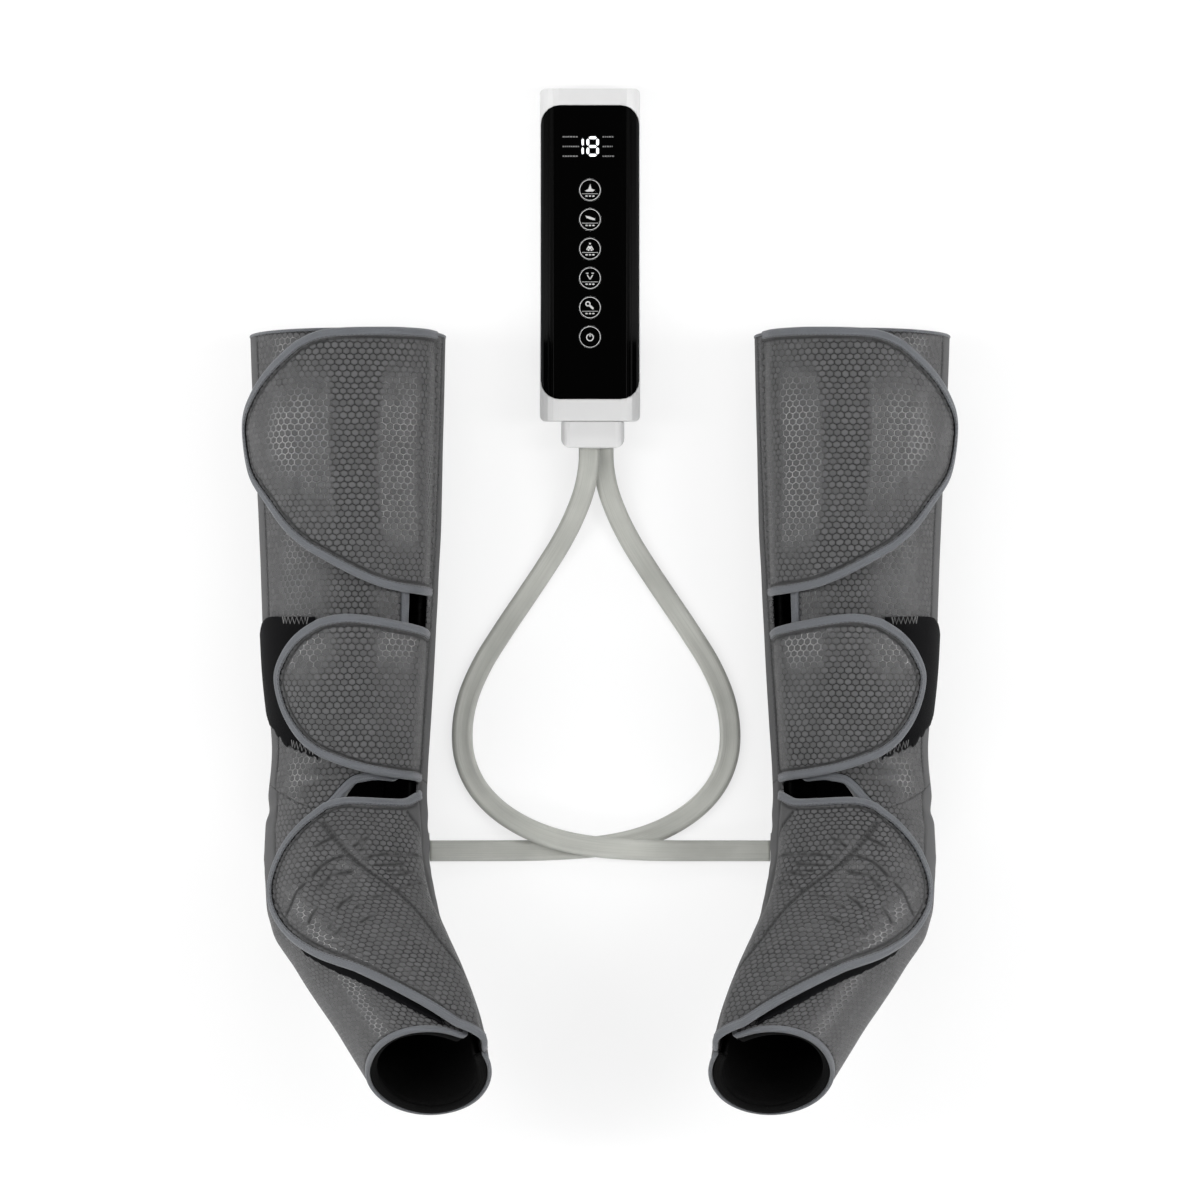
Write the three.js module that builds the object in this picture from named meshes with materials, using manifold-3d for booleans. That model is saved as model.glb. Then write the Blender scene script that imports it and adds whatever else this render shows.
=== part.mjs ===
// Air compression leg massager: two wrap boots, a hand controller with its pump, and two air hoses.
// Millimetres, +Z up. The set lies on its back on z = 0, with the tops of the boots towards +Y.
// Every layer of a boot is a sheet laid at its own height over one lofted leg surface.

import * as THREE from 'three';
import { mergeVertices } from 'three/addons/utils/BufferGeometryUtils.js';
import Module from 'manifold-3d';

// Whole set
const set_length = 634;        // top of the controller to the toe lips, seen from the front
const boot_spacing = 312;      // between the middles of the two calves at their tops

// Boot, over the outer cloth
const boot_length = 484;       // top hem to toe lip, seen from the front
const calf_width = 122;        // across the calf below the hem
const calf_depth = 106;        // shin to back of the calf as it lies

// Wall of a boot, from the outer cloth inwards
const shell_wall = 2.2;        // padded outer cloth
const bag_wall = 2.4;          // flat air bag, empty
const lining_wall = 1.6;       // black inner cloth
const layer_gap = 0.9;         // room between layers that lie on each other
const seam_gap = 0.4;          // room between edges that are sewn together

// Edge tapes
const tape_width = 5.3;
const tape_proud = 0.8;        // how far a tape stands above what it covers
const tape_wall = 0.9;
const tape_rise = 1.2;         // room over a flap's edge under its tape

// Closing flaps
const flap_wall = 2.2;         // at the edge
const flap_crown = 2.4;        // extra thickness in the middle of the padding
const flap_lift = 4.2;         // underside of a flap above the outer cloth
const hinge_drop = 1.4;        // the sewn edge lies this far under it, edge to edge with the shell
const patch_wall = 0.8;        // loop patch
const hook_wall = 0.7;         // hook strip under a flap

// Air inlet at the boot
const inlet_width = 18;
const inlet_height = 9;
const inlet_middle_z = 8;
const inlet_reach = 50;        // mouth of the inlet from the middle of the calf
const inlet_depth = 24;        // length before it is cut to the cloth
const inlet_flange = 2.4;
const inlet_flange_width = 22;
const inlet_flange_height = 12;
const inlet_along_share = 0.667; // of the boot's length, where the hose reaches it

// Controller housing
const case_x = -6.2;           // middle of the controller
const case_width = 62.3;
const case_length = 206;
const case_height = 36;
const case_wall = 2.2;
const front_round = 12;        // round of the long front edges
const rear_round = 6;
const corner_round = 3.4;      // corners seen from the front
const split_height = 14;       // parting line above the rear face
const rim_height = 2.4;        // rim of the rear housing that stands inside the front housing
const rim_wall = 1.6;
const fit_gap = 0.3;           // clearance between hard pieces

// Front panel
const panel_width = 60.6;
const panel_round = 11.5;
const panel_wall = 1.6;
const panel_top_margin = 10.5; // from the top end of the housing
const panel_low_margin = 13.5;
const panel_length = case_length - panel_top_margin - panel_low_margin;
const display_width = 36;
const display_length = 16;
const display_share = 0.1748;  // middle of the display below the top end, of the housing's length
const glue_ledge = 2.2;        // how much smaller the window behind the panel is than the display

// Keys
const key_count = 6;
const key_radius = 7;
const key_cap = 1.2;
const key_edge = 0.3;
const key_stem_radius = 4;
const key_pitch_share = 0.08835; // of the housing's length
const key_first_share = 0.3058; // middle of the first key below the top end, of the housing's length
const key_travel = 0.5;
const switch_height = 0.6;     // of each key's switch on the board

// Inside the controller
const board_wall = 1.6;
const board_width = 50;
const board_z = 26;            // underside of the circuit board
const board_end_margin = 12;   // from the top end of the housing
const board_low_margin = 44;
const board_length = case_length - board_end_margin - board_low_margin;
const post_radius = 2.8;
const post_inset = 5;
const battery_width = 38;
const battery_height = 18;
const battery_round = 8.6;
const pump_radius = 9.9;
const pump_length = 30;
const pump_head_width = 30;
const pump_head_length = 24;
const pump_head_height = 21;
const pump_port_radius = 2.4;
const pump_port_length = 6;
const valve_width = 32;
const valve_length = 22;
const valve_height = 13;
const valve_coil_radius = 5;
const valve_coil_length = 7.5;
const valve_port_radius = 2.4;
const valve_port_length = 5;
const inner_spacing = 4;       // between the pieces laid along the housing
const outlet_room = 7;         // between the valve block's outlets and the hose socket

// Hose plug and its socket
const plug_x = -4.5;
const plug_width = 39.3;
const plug_length = 16.1;
const plug_height = 19;
const plug_round = 5.5;
const plug_edge = 1.2;         // small round beside the housing
const plug_floor = 3;          // left between the air ways and the hose face
const plug_z = 17.5;           // middle of the plug above the surface
const tongue_width = 29;
const tongue_height = 12;
const tongue_length = 12;
const tongue_round = 4;
const tongue_bore = 2.2;       // radius of each air way
const tongue_bore_shares = [-1 / 3, 0, 1 / 3]; // places of the air ways across the tongue
const socket_wall = 1.8;
const socket_length = 15;

// Hoses: each is two tubes bonded side by side
const hose_width = 13;
const hose_thickness = 5.4;
const hose_waist = 4.6;        // thickness where the two tubes join
const hose_steps = 52;

const overrun = 5;             // how far a cutting solid runs past what it cuts
const merge_tolerance = 1e-4;
const least_round = 1;         // where a rounded body is shrunk by more than its round
const corner_steps = 5;        // flats in each rounded corner
const pin_sides = 14;          // flats round small round pieces
const facing_step_share = 1e-3; // step for the slopes of the leg surface

// Cells of the sheets. Every layer of the wall has its corners over the same places, so that layers
// never meet.
const wall_columns = 18;
const calf_rows = 8;
const foot_rows = 7;
const open_columns = 2;        // cells beside the slit whose taped edges stand apart in front of the ankle
const sewn_columns = 3;        // cells from the slit to where calf and foot are sewn together
const flap_grids = { upper: [10, 8], middle: [8, 6], foot: [9, 7] };
const hook_grid = [3, 3];
const patch_grid = [6, 3];
const core_grid = [36, 24];    // solid leg that the air inlet is cut to

// Leg surface: stations from the top hem to the toe, each given as
// [back along, back height, front along, front height, outer side, inner side],
// along as a share of boot_length, heights of calf_depth and sides of calf_width.
const station_shares = [
  [0.017, -0.057, 0.000, 0.965, -0.498, 0.498],
  [0.128, -0.057, 0.120, 0.988, -0.478, 0.491],
  [0.293, -0.057, 0.285, 0.958, -0.448, 0.470],
  [0.438, -0.057, 0.421, 0.905, -0.426, 0.443],
  [0.545, -0.057, 0.517, 0.840, -0.389, 0.416],
  [0.624, -0.047, 0.574, 0.821, -0.407, 0.402],
  [0.690, -0.038, 0.616, 0.896, -0.419, 0.416],
  [0.744, 0.057, 0.661, 1.028, -0.427, 0.432],
  [0.802, 0.302, 0.713, 1.170, -0.393, 0.488],
  [0.868, 0.594, 0.769, 1.368, -0.234, 0.594],
  [0.934, 0.896, 0.826, 1.585, -0.056, 0.686],
  [1.000, 1.198, 0.882, 1.783, 0.107, 0.737],
];

// Angles round the leg: 0 on the inner side, a quarter turn at the shin, a half turn on the outer side.
const quarter_turn = Math.PI / 2;
const full_turn = Math.PI * 2;
const calf_slit = { start: 0.44, end: 0.93 };
const foot_slit = { start: 0.44, end: 0.93 };

// Places down the leg surface as shares of the run through its stations
const hem_share = 0.0105;
const calf_end_share = 0.430;
const ankle_gap_share = 0.540;
const toe_share = 0.984;
const seam_step_share = 0.0012;

// Shapes across a bag and a flap
const bag_edge_share = 0.4;    // thickness of a bag's welded edge, of the bag's own
const lift_share = 0.20;       // of the way across, where a flap reaches its full lift
const pad_shares = { start: 0.02, full: 0.35 };

const legLine = (column, scale_x, scale_y) => new THREE.SplineCurve(
  station_shares.map((row) => new THREE.Vector2(row[column] * scale_x, row[column + 1] * scale_y)),
);
const leg_lines = {
  back: legLine(0, boot_length, calf_depth),
  front: legLine(2, boot_length, calf_depth),
  sides: legLine(4, calf_width, calf_width),
};

const mix = (a, b, share) => a + (b - a) * share;

const smooth = (value, start, end) => THREE.MathUtils.smoothstep(value, start, end);

// The middle and half axes of the section at a share of the run down the leg
function section(run) {
  const share = Math.min(Math.max(run, 0), 1);
  const back = leg_lines.back.getPoint(share);
  const front = leg_lines.front.getPoint(share);
  const sides = leg_lines.sides.getPoint(share);
  return {
    x: (sides.x + sides.y) / 2,
    half_width: (sides.y - sides.x) / 2,
    along: (back.x + front.x) / 2,
    along_lean: (front.x - back.x) / 2,
    z: (back.y + front.y) / 2,
    half_depth: (front.y - back.y) / 2,
  };
}

function legPoint(angle, run) {
  const s = section(run);
  return new THREE.Vector3(
    s.x + s.half_width * Math.cos(angle),
    -s.along - s.along_lean * Math.sin(angle),
    Math.max(0, s.z + s.half_depth * Math.sin(angle)),
  );
}

// Outward direction of the leg surface
function legFacing(angle, run) {
  const step = facing_step_share;
  const low = Math.min(Math.max(run, step), 1 - step);
  const round = legPoint(angle + step, low).sub(legPoint(angle - step, low));
  const down = legPoint(angle, low + step).sub(legPoint(angle, low - step));
  return round.cross(down).normalize();
}

// A point at a height over the leg surface; nothing goes below the resting surface
function over(angle, run, height) {
  const point = legPoint(angle, run).addScaledVector(legFacing(angle, run), height);
  point.z = Math.max(point.z, 0);
  return point;
}

// The run at which the surface passes a place along the boot, seen from the front
function runAt(angle, along_share) {
  let low = 0;
  let high = 1;
  while (high - low > merge_tolerance) {
    const middle = (low + high) / 2;
    if (-legPoint(angle, middle).y < along_share * boot_length) low = middle;
    else high = middle;
  }
  return (low + high) / 2;
}

function meshGeometry(points, faces) {
  const geometry = new THREE.BufferGeometry();
  const places = points.flatMap((point) => point.toArray());
  geometry.setAttribute('position', new THREE.Float32BufferAttribute(places, 3));
  geometry.setIndex(faces);
  return geometry;
}

// A closed sheet: spot(a, b) gives [angle, run], low and high give its heights over the surface.
// a runs round the leg, b runs down it, both from 0 to 1; keep says which cells the sheet has.
function sheet(columns, rows, spot, low, high, keep = () => true) {
  const points = [];
  const layer = (columns + 1) * (rows + 1);
  for (const height of [high, low]) {
    for (let j = 0; j <= rows; j += 1) {
      for (let i = 0; i <= columns; i += 1) {
        const [a, b] = [i / columns, j / rows];
        const [angle, run] = spot(a, b);
        points.push(over(angle, run, height(a, b)));
      }
    }
  }
  const at = (i, j) => j * (columns + 1) + i;
  const faces = [];
  const rim = new Map();
  for (let j = 0; j < rows; j += 1) {
    for (let i = 0; i < columns; i += 1) {
      if (!keep(i, j)) continue;
      const cell = [at(i, j), at(i + 1, j), at(i + 1, j + 1), at(i, j + 1)];
      const [p, q, r, t] = cell;
      faces.push(p, q, r, p, r, t);
      faces.push(layer + p, layer + r, layer + q, layer + p, layer + t, layer + r);
      cell.forEach((from, k) => {
        const to = cell[(k + 1) % cell.length];
        if (!rim.delete(`${to} ${from}`)) rim.set(`${from} ${to}`, [from, to]);
      });
    }
  }
  for (const [p, q] of rim.values()) faces.push(q, p, layer + p, q, layer + p, layer + q);
  return meshGeometry(points, faces);
}

// A tape along a line of [angle, run] spots. Its section is a list of [side, height] corners, where side
// is measured in the surface to the right of the way the line runs, seen from outside the boot.
function tape(line, corners) {
  const spots = line.map(([angle, run]) => ({ point: legPoint(angle, run), facing: legFacing(angle, run) }));
  const ways = spots.slice(1).map((spot, k) => spot.point.clone().sub(spots[k].point).normalize());
  const points = [];
  spots.forEach(({ point, facing }, k) => {
    const before = ways[Math.max(k - 1, 0)].clone().cross(facing).normalize();
    const after = ways[Math.min(k, ways.length - 1)].clone().cross(facing).normalize();
    const side = before.clone().add(after).divideScalar(1 + before.dot(after));
    for (const [across, height] of corners(k / (spots.length - 1))) {
      const corner = point.clone().addScaledVector(side, across).addScaledVector(facing, height);
      corner.z = Math.max(corner.z, 0);
      points.push(corner);
    }
  });
  return ribbon(points, spots.length, corners(0).length, outlineCaps(corners(0)));
}

// Joins rings of corners into a closed solid; caps are triangles over one ring, in the ring's own order
function ribbon(points, rings, sides, caps) {
  const faces = [];
  for (let k = 0; k < rings - 1; k += 1) {
    for (let i = 0; i < sides; i += 1) {
      const [p, q] = [k * sides + i, k * sides + ((i + 1) % sides)];
      faces.push(p, q + sides, p + sides, p, q, q + sides);
    }
  }
  const last = (rings - 1) * sides;
  for (const [a, b, c] of caps) {
    faces.push(a, c, b);
    faces.push(last + a, last + b, last + c);
  }
  const volume = faces.reduce((sum, _, k) => (k % 3 ? sum
    : sum + points[faces[k]].dot(points[faces[k + 1]].clone().cross(points[faces[k + 2]]))), 0);
  return meshGeometry(points, volume < 0 ? faces.reverse() : faces);
}

const fanCaps = (sides) => Array.from({ length: sides - 2 }, (_, k) => [0, k + 1, k + 2]);

function outlineCaps(corners) {
  const outline = corners.map(([x, y]) => new THREE.Vector2(x, y));
  const caps = THREE.ShapeUtils.triangulateShape(outline, []);
  return THREE.ShapeUtils.isClockWise(outline) ? caps.map(([a, b, c]) => [a, c, b]) : caps;
}

// Solids for cutting and joining
const wasm = await Module();
wasm.setup();

function solid(geometry) {
  const bare = geometry.clone();
  bare.deleteAttribute('normal');
  bare.deleteAttribute('uv');
  const merged = mergeVertices(bare, merge_tolerance);
  return new wasm.Manifold(new wasm.Mesh({
    numProp: 3,
    vertProperties: new Float32Array(merged.attributes.position.array),
    triVerts: new Uint32Array(merged.index.array),
  }));
}

function geometryOf(body) {
  const mesh = body.getMesh();
  const geometry = new THREE.BufferGeometry();
  geometry.setAttribute('position', new THREE.BufferAttribute(mesh.vertProperties, mesh.numProp));
  geometry.setIndex(new THREE.BufferAttribute(mesh.triVerts, 1));
  return geometry;
}

function box(width, length, height, x = 0, y = 0, z = 0) {
  return new THREE.BoxGeometry(width, length, height).translate(x, y, z + height / 2);
}

// Outline with four rounded corners, given the two rounds along its second axis
function roundedOutline(width, height, low_round, high_round, steps = corner_steps) {
  const corners = [
    [width / 2 - low_round, -height / 2 + low_round, low_round, -quarter_turn],
    [width / 2 - high_round, height / 2 - high_round, high_round, 0],
    [-width / 2 + high_round, height / 2 - high_round, high_round, quarter_turn],
    [-width / 2 + low_round, -height / 2 + low_round, low_round, Math.PI],
  ];
  const points = corners.flatMap(([x, y, radius, turn]) => Array.from({ length: steps + 1 }, (_, k) => {
    const angle = turn + quarter_turn * k / steps;
    return new THREE.Vector2(x + radius * Math.cos(angle), y + radius * Math.sin(angle));
  }));
  return new THREE.Shape(points);
}

// An outline seen from the front, raised from z
function raised(shape, z, height) {
  return new THREE.ExtrudeGeometry(shape, { depth: height, bevelEnabled: false }).translate(0, 0, z);
}

// An outline seen from the end of the housing, run along Y from start
function along(shape, start, length) {
  return new THREE.ExtrudeGeometry(shape, { depth: length, bevelEnabled: false })
    .rotateX(quarter_turn)
    .translate(0, start + length, 0);
}

// A round bar along Y from y, and one along Z from z
function rod(radius, length, x, y, z) {
  return new THREE.CylinderGeometry(radius, radius, length, pin_sides).translate(x, y + length / 2, z);
}

function post(radius, height, x, y, z) {
  return new THREE.CylinderGeometry(radius, radius, height, pin_sides).rotateX(quarter_turn)
    .translate(x, y, z + height / 2);
}

// Materials
const material = (color, roughness, metalness = 0) => (
  new THREE.MeshStandardMaterial({ color, roughness, metalness })
);
const finishes = {
  cloth: material(0x5e5e60, 0.75),
  tape: material(0x75787d, 0.8),
  lining: material(0x060606, 0.9),
  bag: material(0x9aa0a6, 0.4),
  hook: material(0x1a1a1c, 0.9),
  patch: material(0x101012, 0.6),
  collar: material(0x8b8d88, 0.5),
  hose: material(0xa9aba3, 0.45),
  case: material(0xe8e8e8, 0.35),
  panel: material(0x050505, 0.05),
  key: material(0x0a0a0a, 0.1),
  board: material(0x1e6b3a, 0.5),
  cell: material(0x2f5f9e, 0.5),
  pump: material(0xb8bcc0, 0.35, 0.8),
  valve: material(0x33363a, 0.5),
};

function piece(name, geometry, finish) {
  const mesh = new THREE.Mesh(geometry, finishes[finish].clone());
  mesh.name = name;
  return mesh;
}

function calfSpot(a, b) {
  return [mix(calf_slit.end, full_turn + calf_slit.start, a), mix(hem_share, calf_end_share, b)];
}

// Upper edge of the foot: sewn to the calf behind, open over the instep
function footSpot(a, b) {
  const angle = mix(foot_slit.end, full_turn + foot_slit.start, a);
  const open = 1 - smooth(a * wall_columns, open_columns, sewn_columns);
  return [angle, mix(mix(calf_end_share + seam_step_share, ankle_gap_share, open), toe_share, b)];
}

const calfShell = () => sheet(wall_columns, calf_rows, calfSpot, () => -shell_wall, () => 0);

const footShell = () => sheet(wall_columns, foot_rows, footSpot, () => -shell_wall, () => 0);

// The wall's layers from the outside: shell, bags, lining
const bag_top = -shell_wall - layer_gap;
const bag_bottom = bag_top - bag_wall;
const lining_top = bag_bottom - layer_gap;
const wall = -lining_top + lining_wall;

// Lining: one cloth for calf and foot, cut away in front of the ankle
function lining() {
  const rows = calf_rows + 1 + foot_rows;
  const columns = wall_columns / 2;
  const spot = (a, b) => {
    const row = Math.round(b * rows);
    return row <= calf_rows ? calfSpot(a, row / calf_rows) : footSpot(a, (row - calf_rows - 1) / foot_rows);
  };
  const sewn = (i, j) => j !== calf_rows || i * 2 >= sewn_columns;
  return sheet(columns, rows, spot, () => lining_top - lining_wall, () => lining_top, sewn);
}

// Air bags: flat bladders round the back of the leg, each over a block of the wall's cells
const bag_cells = {
  upper_calf: { from: 2, to: 16, start: 1, end: 4, rows: calf_rows, place: calfSpot },
  lower_calf: { from: 2, to: 16, start: 5, end: 7, rows: calf_rows, place: calfSpot },
  foot: { from: 3, to: 15, start: 1, end: 5, rows: foot_rows, place: footSpot },
};

function airBag({ from, to, start, end, rows, place }) {
  const spot = (a, b) => place(mix(from, to, a) / wall_columns, mix(start, end, b) / rows);
  const swell = (a, b) => mix(bag_edge_share, 1, Math.sqrt(Math.sin(Math.PI * a) * Math.sin(Math.PI * b)));
  return sheet(to - from, end - start, spot, (a, b) => bag_top - bag_wall * swell(a, b), () => bag_top);
}

// Flaps: three lines in the front view, as [across, along] shares: across the half width of the leg,
// along boot_length. The top and the bottom line run from the sewn edge, the free line joins their ends.
const flap_shapes = {
  upper: {
    top: [[0.893, 0.003], [0.42, 0.001], [-0.18, 0.004], [-0.46, 0.018]],
    free: [[-0.46, 0.018], [-0.72, 0.050], [-0.89, 0.082], [-0.985, 0.123], [-0.955, 0.178], [-0.80, 0.219],
      [-0.61, 0.255], [-0.41, 0.278]],
    bottom: [[0.893, 0.338], [0.50, 0.330], [0.13, 0.315], [-0.41, 0.278]],
  },
  middle: {
    top: [[0.893, 0.387], [0.55, 0.374], [0.02, 0.364], [-0.30, 0.370]],
    free: [[-0.30, 0.370], [-0.53, 0.389], [-0.69, 0.415], [-0.77, 0.444], [-0.72, 0.485], [-0.55, 0.521],
      [-0.32, 0.541]],
    bottom: [[0.893, 0.570], [0.45, 0.566], [0.05, 0.556], [-0.32, 0.541]],
  },
  foot: {
    top: [[0.893, 0.601], [0.55, 0.606], [0.05, 0.604], [-0.24, 0.611]],
    free: [[-0.24, 0.611], [-0.50, 0.638], [-0.73, 0.678], [-0.85, 0.722], [-0.85, 0.742], [-0.78, 0.770],
      [-0.55, 0.793]],
    bottom: [[0.893, 0.905], [0.50, 0.874], [0.20, 0.848], [-0.55, 0.793]],
  },
};

const flat = ([across, down]) => new THREE.Vector2(Math.acos(across), down);

function flapSpot({ top, free, bottom }) {
  const top_line = new THREE.SplineCurve(top.map(flat));
  const free_line = new THREE.SplineCurve(free.map(flat));
  const bottom_line = new THREE.SplineCurve(bottom.map(flat));
  const sewn_line = new THREE.LineCurve(flat(top[0]), flat(bottom[0]));
  return (a, b) => {
    const place = new THREE.Vector2()
      .addScaledVector(top_line.getPoint(a), 1 - b)
      .addScaledVector(bottom_line.getPoint(a), b)
      .addScaledVector(sewn_line.getPoint(b), 1 - a)
      .addScaledVector(free_line.getPoint(b), a)
      .addScaledVector(top_line.getPoint(0), -(1 - a) * (1 - b))
      .addScaledVector(top_line.getPoint(1), -a * (1 - b))
      .addScaledVector(bottom_line.getPoint(0), -(1 - a) * b)
      .addScaledVector(bottom_line.getPoint(1), -a * b);
    return [place.x, runAt(place.x, place.y)];
  };
}

const flapUnderside = (a) => mix(-hinge_drop, flap_lift, smooth(a, 0, lift_share));

function flapTop(a, b) {
  const pad = smooth(Math.min(a, 1 - a, b, 1 - b), pad_shares.start, pad_shares.full);
  return flapUnderside(a) + flap_wall + flap_crown * pad;
}

function flap(name) {
  const [columns, rows] = flap_grids[name];
  return sheet(columns, rows, flapSpot(flap_shapes[name]), (a) => flapUnderside(a), flapTop);
}

// Tape over the free edges of a flap: it laps the top face and closes the edge
function flapTape(name) {
  const [columns, rows] = flap_grids[name];
  const spot = flapSpot(flap_shapes[name]);
  const edge = [];
  for (let i = 0; i <= columns; i += 1) edge.push([i / columns, 0]);
  for (let j = 1; j <= rows; j += 1) edge.push([1, j / rows]);
  for (let i = columns - 1; i >= 0; i -= 1) edge.push([i / columns, 1]);
  const shares = edge.map(([a]) => a);
  return tape(edge.map(([a, b]) => spot(a, b)), (share) => {
    const under = flapUnderside(shares[Math.round(share * (shares.length - 1))]);
    const top = under + flap_wall;
    const lap = top + tape_rise;
    return [
      [seam_gap, under], [seam_gap + tape_wall, under], [seam_gap + tape_wall, lap],
      [seam_gap - tape_width, lap + tape_wall], [seam_gap - tape_width, lap], [seam_gap, top + seam_gap],
    ];
  });
}

// Tape over the edge of the wall: it fills the edge beside the shell, bags and lining
function wallTape(line) {
  const corners = [
    [-seam_gap - layer_gap, -wall - tape_wall], [-seam_gap, tape_proud * 0.5],
    [-seam_gap - tape_width / 2, tape_proud], [-seam_gap - tape_width, tape_proud * 0.5],
    [-seam_gap - tape_width, -wall - tape_wall],
  ];
  return tape(line, () => corners);
}

const spread = (count, place) => Array.from({ length: count + 1 }, (_, k) => place(k / count));

function calfTapeLine() {
  const slit = spread(calf_rows, (t) => calfSpot(0, 1 - t));
  const hem = spread(wall_columns, (t) => calfSpot(t, 0));
  const ankle = spread(open_columns, (t) => calfSpot((1 - t) * open_columns / wall_columns, 1));
  return [...ankle.slice(0, -1), ...slit.slice(0, -1), ...hem].reverse();
}

function footTapeLine() {
  const top = spread(open_columns, (t) => footSpot((1 - t) * open_columns / wall_columns, 0));
  const slit = spread(foot_rows, (t) => footSpot(0, t));
  const toe = spread(wall_columns, (t) => footSpot(t, 1));
  return [...top.slice(0, -1), ...slit.slice(0, -1), ...toe];
}

// Loop patches on the shell and hook strips under the flaps, as [angle from, angle to, along from, along to]
const fastener_shares = {
  upper: { patch: [1.95, 2.60, 0.08, 0.20], hook: [2.10, 2.50, 0.12, 0.19] },
  middle: { patch: [1.95, 3.45, 0.366, 0.545], hook: [1.95, 2.25, 0.40, 0.52] },
  foot: { patch: [1.70, 2.15, 0.67, 0.76], hook: [1.78, 2.08, 0.68, 0.75] },
};

function strip([from, to, start, end], [columns, rows], low, high) {
  const spot = (a, b) => {
    const angle = mix(from, to, a);
    return [angle, runAt(angle, mix(start, end, b))];
  };
  return sheet(columns, rows, spot, () => low, () => high);
}

const patch_low = layer_gap;
const hook_high = flap_lift - layer_gap;

// Air inlet: a collar low on the inner side, cut to the curve of the cloth
function legCore(height) {
  const [sides, rings] = core_grid;
  const points = [];
  for (let k = 0; k < rings; k += 1) {
    for (let i = 0; i < sides; i += 1) {
      points.push(over(-full_turn * i / sides, k / (rings - 1), height));
    }
  }
  return ribbon(points, rings, sides, fanCaps(sides));
}

const boot_top_y = -set_length / 2 + boot_length;
const inlet_y = boot_top_y - inlet_along_share * boot_length;
const inlet_face_x = boot_spacing / 2 - inlet_reach;

function airInlet() {
  const y = inlet_y - boot_top_y;
  const round = inlet_height / 2 - merge_tolerance;
  const collar = raised(roundedOutline(inlet_width, inlet_height, round, round), 0, inlet_depth);
  const rim_round = inlet_flange_height / 2 - merge_tolerance;
  const rim_outline = roundedOutline(inlet_flange_width, inlet_flange_height, rim_round, rim_round);
  const rim = raised(rim_outline, 0, inlet_flange);
  const turn = (geometry) => geometry.rotateX(quarter_turn).rotateZ(-quarter_turn);
  const place = (geometry) => solid(turn(geometry).translate(inlet_reach, y, inlet_middle_z));
  const core = solid(legCore(seam_gap));
  return geometryOf(place(collar).add(place(rim)).subtract(core));
}

function boot(side) {
  const group = new THREE.Group();
  const add = (name, geometry, finish) => group.add(piece(`${side}_${name}`, geometry, finish));
  add('calf_shell', calfShell(), 'cloth');
  add('foot_shell', footShell(), 'cloth');
  add('lining', lining(), 'lining');
  for (const [name, cells] of Object.entries(bag_cells)) add(`${name}_air_bag`, airBag(cells), 'bag');
  for (const name of Object.keys(flap_shapes)) {
    const { patch, hook } = fastener_shares[name];
    add(`${name}_flap`, flap(name), 'cloth');
    add(`${name}_flap_binding`, flapTape(name), 'tape');
    add(`${name}_hook_strip`, strip(hook, hook_grid, hook_high - hook_wall, hook_high), 'hook');
    add(`${name}_loop_patch`, strip(patch, patch_grid, patch_low, patch_low + patch_wall), 'patch');
  }
  add('calf_edge_binding', wallTape(calfTapeLine()), 'tape');
  add('foot_edge_binding', wallTape(footTapeLine()), 'tape');
  add('air_inlet', airInlet(), 'collar');
  group.position.set(-boot_spacing / 2, boot_top_y, 0);
  return group;
}

// Controller, placed by its top end and its middle
const case_top_y = set_length / 2;
const case_bottom_y = case_top_y - case_length;
const case_middle_y = (case_top_y + case_bottom_y) / 2;
const plug_top_y = case_bottom_y - fit_gap;

// Body of the housing shrunk by an inset
function caseBody(inset) {
  const [rear, front, plan_round] = [rear_round, front_round, corner_round]
    .map((radius) => Math.max(radius - inset, least_round));
  const width = case_width - 2 * inset;
  const end = roundedOutline(width, case_height - 2 * inset, rear, front);
  const plan = roundedOutline(width, case_length - 2 * inset, plan_round, plan_round);
  const bar = along(end, -case_length / 2, case_length).translate(0, 0, case_height / 2);
  return solid(bar).intersect(solid(raised(plan, 0, case_height)));
}

const panel_y = case_length / 2 - panel_top_margin - panel_length / 2;
const key_y = (index) => case_length * (1 / 2 - key_first_share - index * key_pitch_share);
const display_y = case_length * (1 / 2 - display_share);
const panel_floor = case_height - panel_wall;
const front_floor = panel_floor - fit_gap;
const front_wall = panel_wall + fit_gap + case_wall;

function panelPrism(gap) {
  const round = panel_round + gap;
  const outline = roundedOutline(panel_width + 2 * gap, panel_length + 2 * gap, round, round);
  return solid(raised(outline, split_height, case_height).translate(0, panel_y, 0));
}

function keyHoles(radius) {
  return Array.from({ length: key_count }, (_, k) => (
    solid(post(radius, case_height, 0, key_y(k), split_height))
  ));
}

const cutAll = (body, cutters) => cutters.reduce((rest, cutter) => rest.subtract(cutter), body);

function frontPanel() {
  const skin = caseBody(0).subtract(caseBody(panel_wall));
  return geometryOf(cutAll(skin.intersect(panelPrism(0)), keyHoles(key_radius + fit_gap)));
}

const socket_width = tongue_width + 2 * (fit_gap + socket_wall);
const socket_height = tongue_height + 2 * (fit_gap + socket_wall);

// Room for the socket, widened by a margin, from outside the housing or from inside its end wall
function socketHole(margin, start) {
  const width = socket_width + 2 * (margin + fit_gap);
  const height = socket_height + 2 * (margin + fit_gap);
  const from = margin ? case_wall : -overrun;
  const length = start + overrun;
  const y = -case_length / 2 + from + length / 2;
  return solid(box(width, length, height, plug_x - case_x, y, plug_z - height / 2));
}

function splitBox(z, height) {
  return solid(box(case_width + overrun, case_length + overrun, height, 0, 0, z));
}

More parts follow.
